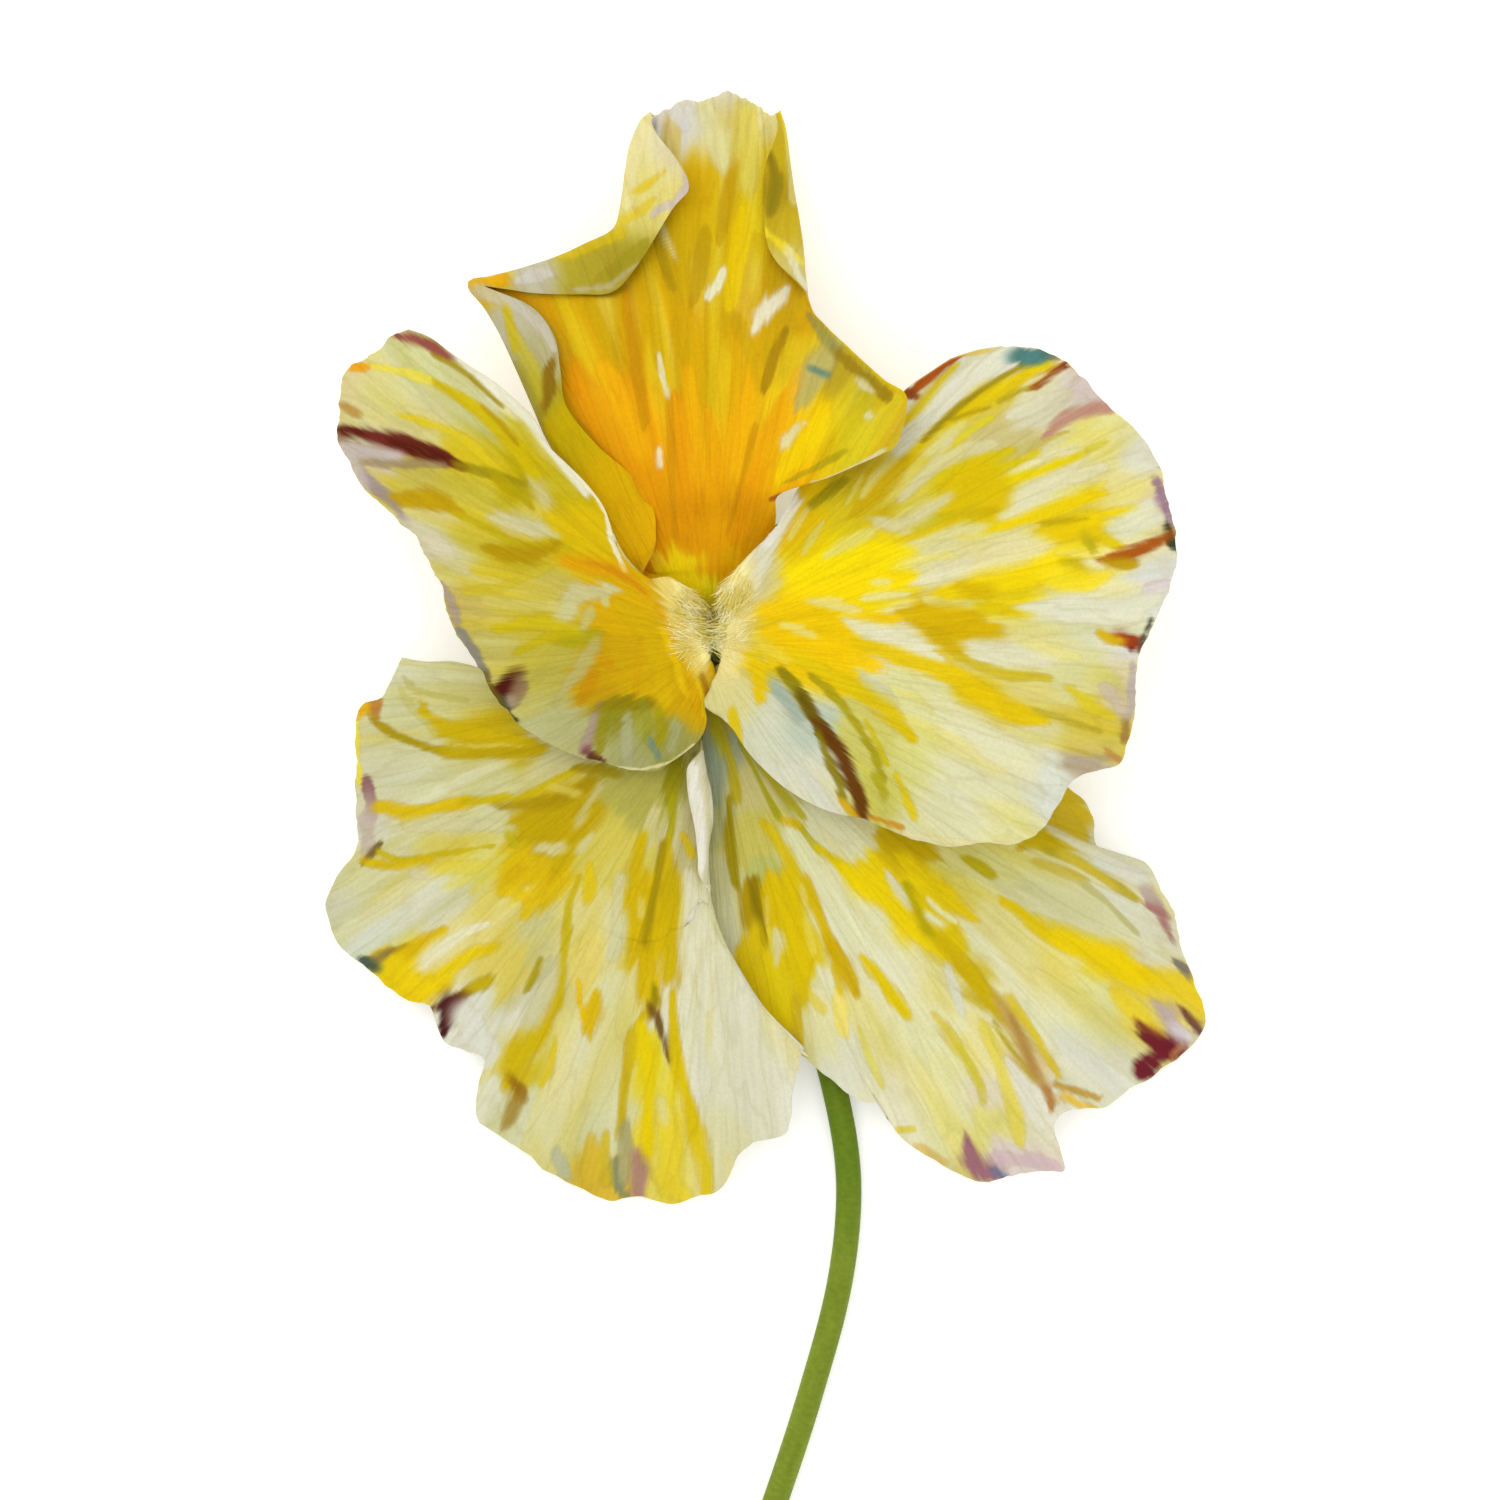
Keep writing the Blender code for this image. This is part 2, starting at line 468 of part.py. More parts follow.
def turned_mesh(name, profile, sides):
    """A solid turned round the Z axis from a profile of (radius, z), its first and last points on the axis."""
    verts, faces, rings = [], [], []
    for r, z in profile:
        if r == 0:
            rings.append([len(verts)])
            verts.append((0, 0, z * MM))
            continue
        rings.append(list(range(len(verts), len(verts) + sides)))
        for k in range(sides):
            turn = 2 * math.pi * k / sides
            verts.append((r * math.cos(turn) * MM, r * math.sin(turn) * MM, z * MM))
    for low, high in zip(rings, rings[1:]):
        for k in range(sides):
            n = (k + 1) % sides
            ring = [low[k % len(low)], low[n % len(low)], high[n % len(high)], high[k % len(high)]]
            faces.append(tuple(dict.fromkeys(ring)))
    mesh = bpy.data.meshes.new(name)
    mesh.from_pydata(verts, [], faces)
    return mesh


def cutter(name, mesh, collection):
    obj = add_object(name, mesh, collection)
    obj.hide_render = True
    obj.display_type = "WIRE"
    return obj


def boolean(obj, other, operation):
    step = obj.modifiers.new(other.name, "BOOLEAN")
    step.object = other
    step.operation = operation
    step.solver = "EXACT"


def stem(finish, collection, helpers):
    """The stem with the flower base on its end, flat along the belly that it lies on."""
    line = [Vector(p) for p in STEM_LINE]
    marks = chord_marks(line)
    points = [smooth_at(line, marks, (k / STEM_STEPS) ** 1.4) for k in range(STEM_STEPS + 1)]
    obj = add_object("stem", welded_tube("stem", points, STEM_RADIUS, STEM_SIDES, collection), collection, finish)
    base = cutter("flower_base", turned_mesh("flower_base", BASE_PROFILE, 20), helpers)
    base.location = (BLOOM_AXIS[0] * MM, BLOOM_AXIS[1] * MM, 0)
    boolean(obj, base, "UNION")
    bpy.ops.mesh.primitive_cube_add(size=0.2, location=(0, -0.04, -0.1))
    table = bpy.context.object
    table.name = "belly_cut"
    for owner in list(table.users_collection):
        owner.objects.unlink(table)
    helpers.objects.link(table)
    table.hide_render = True
    table.display_type = "WIRE"
    boolean(obj, table, "DIFFERENCE")
    return obj


def add_spur(petal_obj, helpers):
    """Joins the blunt spur to the back of its petal, just above the claw."""
    line = [Vector(p) for p in SPUR_LINE]
    marks = chord_marks(line)
    points = [smooth_at(line, marks, k / 8) for k in range(9)]
    tube = cutter("spur", welded_tube("spur", points, SPUR_RADIUS, 12, helpers), helpers)
    boolean(petal_obj, tube, "UNION")
    bpy.ops.mesh.primitive_uv_sphere_add(segments=12, ring_count=8, radius=SPUR_RADIUS * 1.12 * MM,
                                         location=line[-1] * MM)
    tip = bpy.context.object
    tip.name = "spur_tip"
    for owner in list(tip.users_collection):
        owner.objects.unlink(tip)
    helpers.objects.link(tip)
    tip.hide_render = True
    tip.display_type = "WIRE"
    boolean(petal_obj, tip, "UNION")


def pistil(finish, collection):
    obj = add_object("pistil", turned_mesh("pistil", PISTIL_PROFILE, 16), collection, finish)
    obj.location = (BLOOM_AXIS[0] * MM, BLOOM_AXIS[1] * MM, 0)
    return obj


def stamens(finish, collection):
    """The five anthers, grown together into a lobed sleeve round the pistil."""
    verts, faces = [], []
    sides = 40
    for r, z in STAMEN_PROFILE:
        for k in range(sides):
            turn = 2 * math.pi * k / sides
            lobe = 0.1 * abs(math.cos(2.5 * turn)) if r > 1.25 else 0.0
            verts.append(((r + lobe) * math.cos(turn) * MM, (r + lobe) * math.sin(turn) * MM, z * MM))
    rings = len(STAMEN_PROFILE)
    for j in range(rings):
        for k in range(sides):
            n, up = (k + 1) % sides, (j + 1) % rings
            faces.append((j * sides + k, j * sides + n, up * sides + n, up * sides + k))
    mesh = bpy.data.meshes.new("stamens")
    mesh.from_pydata(verts, [], faces)
    obj = add_object("stamens", mesh, collection, finish)
    obj.location = (BLOOM_AXIS[0] * MM, BLOOM_AXIS[1] * MM, 0)
    return obj


def main():
    clear_scene()
    flower = new_collection("pansy_flower")
    helpers = new_collection("helpers")
    helpers.hide_render = True
    cream = material("cream_petal", CREAM)
    gold = material("gold_petal", GOLD)
    green = material("green_sepal", SEPAL_GREEN)

    spurred = petal("petal_spurred", gold, flower, SPURRED_LEFT, SPURRED_END, SPURRED_RIGHT,
                    SPURRED_LEFT_ROLL, SPURRED_RIGHT_ROLL, crown=0.8)
    add_spur(spurred, helpers)
    petal("petal_side_left", cream, flower, SIDE_LEFT_LOWER, SIDE_LEFT_END[::-1], SIDE_LEFT_UPPER, hollow=1.6)
    petal("petal_side_right", cream, flower, SIDE_RIGHT_UPPER, SIDE_RIGHT_END, SIDE_RIGHT_LOWER, hollow=1.6)
    petal("petal_back_left", cream, flower, BACK_LEFT_INNER, BACK_LEFT_END[::-1], BACK_LEFT_UPPER,
          BACK_LEFT_INNER_ROLL)
    petal("petal_back_right", cream, flower, BACK_RIGHT_UPPER, BACK_RIGHT_END[::-1], BACK_RIGHT_INNER)

    for number, angle in enumerate(SEPAL_ANGLES, 1):
        sepal(number, angle, green, flower)
    stem(material("green_stem", STEM_GREEN, 0.5), flower, helpers)
    pistil(material("green_stigma", STIGMA_GREEN, 0.45), flower)
    stamens(material("orange_anther", ANTHER_ORANGE), flower)


main()
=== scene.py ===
import math

import bpy
import numpy as np
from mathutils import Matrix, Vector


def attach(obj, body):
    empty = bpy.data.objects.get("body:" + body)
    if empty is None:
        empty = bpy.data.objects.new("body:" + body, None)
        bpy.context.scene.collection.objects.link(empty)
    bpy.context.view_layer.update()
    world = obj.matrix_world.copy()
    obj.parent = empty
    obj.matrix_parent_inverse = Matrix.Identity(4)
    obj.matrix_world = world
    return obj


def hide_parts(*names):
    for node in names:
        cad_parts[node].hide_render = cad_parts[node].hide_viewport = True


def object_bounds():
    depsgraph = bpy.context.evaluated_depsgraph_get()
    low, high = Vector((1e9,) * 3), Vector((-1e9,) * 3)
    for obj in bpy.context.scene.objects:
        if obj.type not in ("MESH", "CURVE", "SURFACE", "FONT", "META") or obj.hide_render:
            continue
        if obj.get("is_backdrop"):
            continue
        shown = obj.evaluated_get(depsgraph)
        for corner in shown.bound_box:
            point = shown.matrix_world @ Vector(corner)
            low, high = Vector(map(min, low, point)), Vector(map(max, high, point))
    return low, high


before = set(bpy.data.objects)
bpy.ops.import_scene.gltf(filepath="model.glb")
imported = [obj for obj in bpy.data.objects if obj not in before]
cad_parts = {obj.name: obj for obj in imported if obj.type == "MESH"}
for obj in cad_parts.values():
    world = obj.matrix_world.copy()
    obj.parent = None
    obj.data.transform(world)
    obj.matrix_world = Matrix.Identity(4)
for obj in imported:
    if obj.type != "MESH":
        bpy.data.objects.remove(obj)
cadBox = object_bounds()
mm = 0.001
bloomX, bloomY = 0.0, 3.75   # the bloom's own axis
viewX, viewY, viewHeight = 2.85, -3.75, 1500.0   # where the camera hangs
levelHeight = 10.0   # the height at which the picture's scale is exact
mmPerPixel = 0.075
pictureSize = 1500   # pixels along each side of the picture
fullTurn = 2 * math.pi
upward = np.array([0, 0, 1.0])
bloomFoot = np.array([bloomX, bloomY, 0])
print("frame loaded")


# Small tools for numbers and colours
def screenTone(code):   # hex code to three numbers from 0 to 1, as the screen shows them
    return np.array([int(code[i:i + 2], 16) / 255 for i in (1, 3, 5)])


def toLinear(tones):
    return np.where(tones <= 0.04045, tones / 12.92, ((tones + 0.055) / 1.055) ** 2.4)


def linearTone(code):
    return (*toLinear(screenTone(code)).tolist(), 1.0)


def ease(t):
    t = np.clip(t, 0.0, 1.0)
    return t * t * (3 - 2 * t)


def bell(t, middle, width):   # 1 at the middle, fading to both sides
    return np.exp(-(((t - middle) / width) ** 2))


def grain(a, b, seed):   # smooth noise from -1 to 1 over the plane (a, b)
    table = np.random.default_rng(seed).random((64, 64)) * 2 - 1
    low, left = np.floor(a).astype(int), np.floor(b).astype(int)
    s, t = ease(a - low), ease(b - left)
    corner = lambda i, j: table[(low + i) % 64, (left + j) % 64]
    return (corner(0, 0) * (1 - s) + corner(1, 0) * s) * (1 - t) + (corner(0, 1) * (1 - s) + corner(1, 1) * s) * t


def runningLength(points):
    steps = np.linalg.norm(np.diff(points, axis=0), axis=1)
    return np.concatenate([[0.0], np.cumsum(steps)]) / steps.sum()


def smoothCurve(points, marks, t):   # points on the smooth curve that passes through `points` at their marks
    points, marks, t = np.asarray(points, float), np.asarray(marks, float), np.atleast_1d(t)
    last = len(points) - 1
    i = np.clip(np.searchsorted(marks, t, side="left") - 1, 0, last - 1)

    def slope(k):
        low, high = np.maximum(k - 1, 0), np.minimum(k + 1, last)
        return (points[high] - points[low]) / (marks[high] - marks[low])[:, None]

    span = (marks[i + 1] - marks[i])[:, None]
    s = np.clip((t[:, None] - marks[i][:, None]) / span, 0.0, 1.0)
    return (points[i] * (2 * s**3 - 3 * s**2 + 1) + slope(i) * span * (s**3 - 2 * s**2 + s)
            + points[i + 1] * (3 * s**2 - 2 * s**3) + slope(i + 1) * span * (s**3 - s**2))


def directions(angle):   # away from the bloom's axis, and across that
    return np.array([math.cos(angle), math.sin(angle), 0]), np.array([-math.sin(angle), math.cos(angle), 0])


def unit(vectors):
    return vectors / np.maximum(np.linalg.norm(vectors, axis=-1, keepdims=True), 1e-9)


def pictureSpot(points):   # where a point in mm lies in the photograph's 1500 by 1500 frame
    scale = (viewHeight - levelHeight) / (viewHeight - points[..., 2]) / mmPerPixel
    return pictureSize / 2 + (points[..., 0] - viewX) * scale, pictureSize / 2 - (points[..., 1] - viewY) * scale


# Meshes from grids of points
paintGain = 0.932   # how far a tone is brought down, so that it looks right once lit


def makeMesh(name, points, faces, finish, tones=None, places=None, sharpAngle=60, marks=()):
    mesh = bpy.data.meshes.new(name)
    mesh.from_pydata((np.asarray(points) * mm).tolist(), [], faces)
    mesh.materials.append(finish)
    mesh.shade_smooth()
    mesh.set_sharp_from_angle(angle=math.radians(sharpAngle))
    layers = [] if tones is None else [("paint", tones, np.ones((len(tones), 1)))]
    layers += [(f"marks{n + 1}", layer[:, :3], layer[:, 3:]) for n, layer in enumerate(marks)]
    for title, colours, cover in layers:
        paint = mesh.attributes.new(title, "FLOAT_COLOR", "POINT")
        colours = np.concatenate([toLinear(np.clip(colours * paintGain, 0, 1)), cover], axis=1)
        paint.data.foreach_set("color", colours.astype(np.float32).ravel())
    if places is not None:
        layer = mesh.uv_layers.new(name="veins")
        corners = np.empty(len(mesh.loops), np.int32)
        mesh.loops.foreach_get("vertex_index", corners)
        layer.uv.foreach_set("vector", np.asarray(places, np.float32)[corners].ravel())
    mesh.validate()
    piece = bpy.data.objects.new(name, mesh)
    bpy.context.scene.collection.objects.link(piece)
    return piece


def settle(piece, node):   # rides on the only body and stands for a node
    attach(piece, "root")
    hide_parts(node)
    print(piece.name, "made,", sum(len(face.vertices) - 2 for face in piece.data.polygons), "triangles")


def gridFaces(rows, cols, start=0, flip=False, wrap=False):
    faces = []
    for j in range(rows - 1):
        for i in range(cols if wrap else cols - 1):
            n = (i + 1) % cols
            a, b, c, d = (start + j * cols + i, start + j * cols + n, start + (j + 1) * cols + n,
                          start + (j + 1) * cols + i)
            faces.append((d, c, b, a) if flip else (a, b, c, d))
    return faces


def sheetNormals(grid):
    return unit(np.cross(np.gradient(grid, axis=1), np.gradient(grid, axis=0)))


def closedSheet(grid, thickness):   # front, back and rim of a thin leaf as (points, faces); front points come first
    rows, cols = grid.shape[:2]
    half = 0.5 * thickness[..., None] * sheetNormals(grid)
    points = np.concatenate([(grid + half).reshape(-1, 3), (grid - half).reshape(-1, 3)])
    count = rows * cols
    faces = gridFaces(rows, cols) + gridFaces(rows, cols, count, flip=True)
    ring = ([i for i in range(cols)] + [j * cols + cols - 1 for j in range(1, rows)]
            + [(rows - 1) * cols + i for i in range(cols - 2, -1, -1)] + [j * cols for j in range(rows - 2, 0, -1)])
    for a, b in zip(ring, ring[1:] + ring[:1]):
        faces.append((b, a, a + count, b + count))
    return points, faces


# Nodes
def addNode(tree, kind, **settings):
    node = tree.nodes.new(kind)
    for name, value in settings.items():
        setattr(node, name, value)
    return node


def link(tree, source, target):
    tree.links.new(source, target)


def feed(tree, socket, value):   # a value is another node's socket or a plain number or colour
    if isinstance(value, bpy.types.NodeSocket):
        link(tree, value, socket)
    else:
        socket.default_value = value


def mathNode(tree, operation, *values):
    node = addNode(tree, "ShaderNodeMath", operation=operation)
    for socket, value in zip(node.inputs, values):
        feed(tree, socket, value)
    return node.outputs[0]


def mixTones(tree, mode, factor, first, second):
    mix = addNode(tree, "ShaderNodeMix", data_type="RGBA", blend_type=mode)
    for socket, value in ((mix.inputs[0], factor), (mix.inputs[6], first), (mix.inputs[7], second)):
        feed(tree, socket, value)
    return mix.outputs[2]


def mapRange(tree, value, low, high, toLow=0.0, toHigh=1.0):
    node = addNode(tree, "ShaderNodeMapRange", interpolation_type="SMOOTHSTEP")
    link(tree, value, node.inputs["Value"])
    for name, number in (("From Min", low), ("From Max", high), ("To Min", toLow), ("To Max", toHigh)):
        node.inputs[name].default_value = number
    return node.outputs["Result"]


def noiseOver(tree, vector, stretch, scale, detail=3.0, roughness=0.55):
    mapping = addNode(tree, "ShaderNodeMapping")
    mapping.inputs["Scale"].default_value = stretch
    link(tree, vector, mapping.inputs["Vector"])
    noise = addNode(tree, "ShaderNodeTexNoise", noise_dimensions="3D")
    noise.inputs["Scale"].default_value = scale
    noise.inputs["Detail"].default_value = detail
    noise.inputs["Roughness"].default_value = roughness
    link(tree, mapping.outputs["Vector"], noise.inputs["Vector"])
    return noise.outputs["Fac"]


def addBump(tree, height, strength, distance, below=None):
    bump = addNode(tree, "ShaderNodeBump")
    bump.inputs["Strength"].default_value = strength
    bump.inputs["Distance"].default_value = distance * mm
    link(tree, height, bump.inputs["Height"])
    if below is not None:
        link(tree, below, bump.inputs["Normal"])
    return bump.outputs["Normal"]


def scaledTone(tree, tone, amount):
    scaled = addNode(tree, "ShaderNodeVectorMath", operation="SCALE")
    link(tree, tone, scaled.inputs[0])
    link(tree, amount, scaled.inputs["Scale"])
    return scaled.outputs[0]


def addGlow(shader, weight, radius, reach, gloss):   # light scattered inside, its reach in mm, and a faint shine
    shader.inputs["Subsurface Weight"].default_value = weight
    shader.inputs["Subsurface Radius"].default_value = radius
    shader.inputs["Subsurface Scale"].default_value = reach * mm
    shader.inputs["Specular IOR Level"].default_value = gloss


def newFinish(name):
    finish = bpy.data.materials.new(name)
    finish.use_nodes = True
    return finish, finish.node_tree, finish.node_tree.nodes["Principled BSDF"]


petalSkin = dict(
    roughness=0.62, sheen=0.015, sheenRoughness=0.5,
    glow=0.12, glowReach=0.4,   # light scattered in the blade, and how far in mm
    fibreCount=150, fibreDepth=0.035, fibreShade=0.045, speckSize=3800.0, speckShade=0.03,
    veinCells=(30.0, 4.2, 1.0), veinWidth=0.09, veinShade=0.16,
    markSoftness=0.42, markFeather=1.1,   # how blurred the marks are, and how their ends fray
    pooling=0.16, poolTone="#d6c890",   # the darker rim where a mark ends
)


def petalFinish(name, veinTone, look=petalSkin):
    finish, tree, shader = newFinish(name)
    paint = addNode(tree, "ShaderNodeAttribute", attribute_name="paint")
    veins = addNode(tree, "ShaderNodeUVMap", uv_map="veins")
    objectSpace = addNode(tree, "ShaderNodeTexCoord")
    fibres = noiseOver(tree, veins.outputs["UV"], (look["fibreCount"], 7.0, 1.0), 1.0, detail=4.0)
    broad = noiseOver(tree, veins.outputs["UV"], (34.0, 2.6, 1.0), 1.0, detail=2.0)
    specks = noiseOver(tree, objectSpace.outputs["Object"], (1.0, 1.0, 1.0), look["speckSize"], detail=1.0)
    # The net of veins: long narrow cells whose borders fork as they run out
    mapping = addNode(tree, "ShaderNodeMapping")
    mapping.inputs["Scale"].default_value = look["veinCells"]
    link(tree, veins.outputs["UV"], mapping.inputs["Vector"])
    wander = addNode(tree, "ShaderNodeVectorMath", operation="ADD")
    link(tree, mapping.outputs["Vector"], wander.inputs[0])
    drift = addNode(tree, "ShaderNodeTexNoise")
    drift.inputs["Scale"].default_value = 1.3
    link(tree, mapping.outputs["Vector"], drift.inputs["Vector"])
    link(tree, drift.outputs["Color"], wander.inputs[1])
    cells = addNode(tree, "ShaderNodeTexVoronoi", feature="DISTANCE_TO_EDGE")
    cells.inputs["Scale"].default_value = 1.0
    link(tree, wander.outputs[0], cells.inputs["Vector"])
    veinMask = mapRange(tree, cells.outputs["Distance"], 0.0, look["veinWidth"], 1.0, 0.0)
    # Colour: paint and two coats of marks with feathered ends, then the fibres, the veins and a fine mottling
    painted = paint.outputs["Color"]
    for coat, stretch in (("marks1", (95.0, 6.0, 1.0)), ("marks2", (150.0, 11.0, 1.0))):
        marks = addNode(tree, "ShaderNodeAttribute", attribute_name=coat)
        feather = noiseOver(tree, veins.outputs["UV"], stretch, 1.0, detail=3.0, roughness=0.6)
        frayed = mathNode(tree, "MULTIPLY_ADD", feather, look["markFeather"], -0.5 * look["markFeather"])
        total = mathNode(tree, "ADD", marks.outputs["Alpha"], frayed)
        cover = mapRange(tree, total, 0.5 - look["markSoftness"], 0.5 + look["markSoftness"])
        painted = mixTones(tree, "MIX", cover, painted, marks.outputs["Color"])
        rim = mapRange(tree, mathNode(tree, "PINGPONG", cover, 0.5), 0.0, 0.5, 0.0, look["pooling"])
        painted = mixTones(tree, "MULTIPLY", rim, painted, linearTone(look["poolTone"]))
    fibreTone = mapRange(tree, fibres, 0.3, 0.7, 1.0 - look["fibreShade"], 1.0 + 0.6 * look["fibreShade"])
    broadTone = mapRange(tree, broad, 0.3, 0.7, 0.96, 1.03)
    speckTone = mapRange(tree, specks, 0.3, 0.7, 1.0 - look["speckShade"], 1.0 + look["speckShade"])
    shade = mathNode(tree, "MULTIPLY", mathNode(tree, "MULTIPLY", fibreTone, broadTone), speckTone)
    veined = mathNode(tree, "MULTIPLY", veinMask, look["veinShade"])
    link(tree, mixTones(tree, "MULTIPLY", veined, scaledTone(tree, painted, shade), veinTone),
         shader.inputs["Base Color"])
    relief = addBump(tree, fibres, 0.55, look["fibreDepth"])
    relief = addBump(tree, veinMask, 0.35, 0.05, relief)
    relief = addBump(tree, specks, 0.25, 0.02, relief)
    link(tree, relief, shader.inputs["Normal"])
    roughness = mapRange(tree, fibres, 0.25, 0.75, look["roughness"] - 0.06, look["roughness"] + 0.08)
    link(tree, roughness, shader.inputs["Roughness"])
    shader.inputs["Sheen Weight"].default_value = look["sheen"]
    shader.inputs["Sheen Roughness"].default_value = look["sheenRoughness"]
    addGlow(shader, look["glow"], (1.0, 0.8, 0.35), look["glowReach"], 0.05)
    return finish


# Petals
petalBuild = dict(columns=200, rows=166, rollColumns=24, thickness=0.3, rimThickness=0.16, clawRing=2.14,
                  clawWidth=1.7, clawFoot=6.06, clawShare=0.17, strokeWidths=(1.45, 1.25), outlinePoints=35,
                  outlineSmoothing=60, rollShare=0.16, combReach=11, backFade=0.6)
lipBuild = dict(middle=0.3, height=0.07, tuckMiddle=0.14, tuckHeight=0.045, tuckWidth=0.13, tuckDepth=0.9)

inks = dict(
    white="#e8e9dc", cream="#dfdcba", lemon="#f2dc28", yellow="#f3d100", gold="#dfbb04", amber="#f0b204",
    orange="#e69a02", ochre="#c8a204", olive="#b4a614", rust="#a5521a", lilac="#cbbcc2",
)
groundInks = ("yellow", "gold", "lemon", "ochre", "amber", "orange")   # strokes in these are painted first


def inkTone(ink):   # an ink's name or a hex code
    return screenTone(inks.get(ink, ink))


def sideEdge(corner, points):
    lip = np.array(points[0])
    upright = corner + (lip - corner) * 0.15
    upright[2] = corner[2] + 0.5 * (lip[2] - corner[2])
    return np.array([corner, upright, *points])


def edgeMarks(edge):   # the claw takes a fixed share, so that both sides leave it together
    claw = petalBuild["clawShare"] * np.arange(4) / 3
    return np.concatenate([claw, petalBuild["clawShare"] + (1 - petalBuild["clawShare"]) * runningLength(edge[3:])[1:]])


# A margin that rolls forward: where the blade ends, and the roll. The span is where it starts, is full, fades and ends
def rolledMargin(fold, free, other, v, span):
    build = petalBuild
    share = ease((v - span[0]) / (span[1] - span[0])) * (1 - ease((v - span[2]) / (span[3] - span[2])))
    flat = np.array([1.0, 1.0, 0.0])
    reach = np.linalg.norm((free - fold) * flat, axis=1)
    straightIn = unit((other - fold) * flat)
    towards = unit(unit((free - fold) * flat) * ease(reach / 0.5)[:, None] * ease(share / 0.3)[:, None]
                   + straightIn * (1.02 - ease(reach / 0.5) * ease(share / 0.3))[:, None])
    radius = np.maximum((free[:, 2] - fold[:, 2]) / 2, 0.6)
    turn = math.pi * share * (1 - 0.35 * ease((v - 0.85) / 0.15))
    least = np.minimum(0.8, 0.2 * np.linalg.norm(other - fold, axis=1))
    width = least + (math.pi * radius + np.maximum(reach - radius, 0.15) - least) * share
    arc = radius * turn
    straight = np.maximum(width - arc, 0.08)
    furthest = np.where(turn > math.pi / 2, radius, radius * np.sin(turn) + straight * np.cos(turn))
    start = fold + towards * furthest[:, None]
    k = np.arange(1, build["rollColumns"] + 1) / build["rollColumns"]
    along = (arc + straight)[:, None] * k
    bend = np.minimum(along, arc[:, None]) / radius[:, None]
    beyond = np.maximum(along - arc[:, None], 0)
    out = radius[:, None] * np.sin(bend) + beyond * np.cos(turn)[:, None]
    up = radius[:, None] * (1 - np.cos(bend)) + beyond * np.sin(turn)[:, None]
    points = start[:, None] - towards[:, None] * out[..., None] + upward * up[..., None]
    return start, points


def petalGrid(form):   # rows of points from the claw to the outer end, each row from left to right, with (u, v)
    build = petalBuild
    middle = math.radians(form["clawAngle"])
    outward, _ = directions(middle)
    edges = []
    for side, points in ((1, form["left"]), (-1, form["right"])):
        angle = middle + side * build["clawWidth"] / 2 / build["clawRing"]
        corner = np.array([bloomX + build["clawRing"] * math.cos(angle), bloomY + build["clawRing"] * math.sin(angle),
                           build["clawFoot"]])
        edges.append(sideEdge(corner, points))
    marks = [edgeMarks(edge) for edge in edges]
    outer = np.array([edges[0][-1], *form["end"], edges[1][-1]])
    outerMarks = runningLength(outer)
    even = np.linspace(0, 1, build["outlinePoints"])
    coarse = smoothCurve(outer, outerMarks, even)
    calm = coarse.copy()
    for _ in range(build["outlineSmoothing"]):
        calm[1:-1] = (calm[:-2] + calm[1:-1] * 2 + calm[2:]) / 4
    u = np.linspace(0, 1, build["columns"] + 1)
    v = np.linspace(0, 1, build["rows"] + 1) ** 1.15
    far = smoothCurve(outer, outerMarks, u)
    calm = smoothCurve(calm, even, u)
    sides = [smoothCurve(edge, mark, v) for edge, mark in zip(edges, marks)]
    blade, rolls = list(sides), [None, None]
    for s, roll in enumerate((form.get("leftRoll"), form.get("rightRoll"))):
        if roll:
            freeEdge = smoothCurve(np.concatenate([edges[s][:2], np.array(roll)]), marks[s], v)
            blade[s], rolls[s] = rolledMargin(sides[s], freeEdge, sides[1 - s], v, form["rollSpans"][s])
    uu, vv = u[None, :, None], v[:, None, None]
    grid = blade[0][:, None] * (1 - uu) + blade[1][:, None] * uu
    grid = grid + (calm - (outer[0] + (outer[-1] - outer[0]) * u[:, None])) * vv**1.7 + (far - calm) * vv**2.6
    arch = (4 * uu * (1 - uu))[..., 0]
    grid[..., 2] += form.get("crown", 0.6) * arch * np.sin(math.pi * v)[:, None]
    lip = (np.sin(math.pi * np.minimum(v / lipBuild["middle"], 1.0)) ** 2)[:, None]
    grid = grid + outward * (form.get("hollow", 0.0) * arch**1.5 * lip)[..., None]
    if "lipReach" in form:   # the lip leans over the throat, and its lower corner fills it below the stigma
        over = arch**0.42 * bell(v, lipBuild["middle"], lipBuild["height"])[:, None]
        grid = grid + (outward * -form["lipReach"] + upward * form["lipLift"]) * over[..., None]
        tuck = bell(u, form["tuck"], lipBuild["tuckWidth"])[None]
        tuck = tuck * bell(v, lipBuild["tuckMiddle"], lipBuild["tuckHeight"])[:, None]
        grid = grid - outward * (lipBuild["tuckDepth"] * tuck)[..., None]
    columns = u
    step = np.arange(1, build["rollColumns"] + 1) / build["rollColumns"] * build["rollShare"]
    if rolls[0] is not None:
        grid = np.concatenate([rolls[0][:, ::-1], grid], axis=1)
        columns = np.concatenate([-step[::-1], columns])
    if rolls[1] is not None:
        grid = np.concatenate([grid, rolls[1]], axis=1)
        columns = np.concatenate([columns, 1 + step])
    uGrid, vGrid = np.meshgrid(columns, v)
    # Points below the level height look nearer the middle, so they move out a little
    eye = np.array([viewX, viewY])
    grid[..., :2] = eye + (grid[..., :2] - eye) * ((viewHeight - grid[..., 2:]) / (viewHeight - levelHeight))
    return grid, uGrid, vGrid


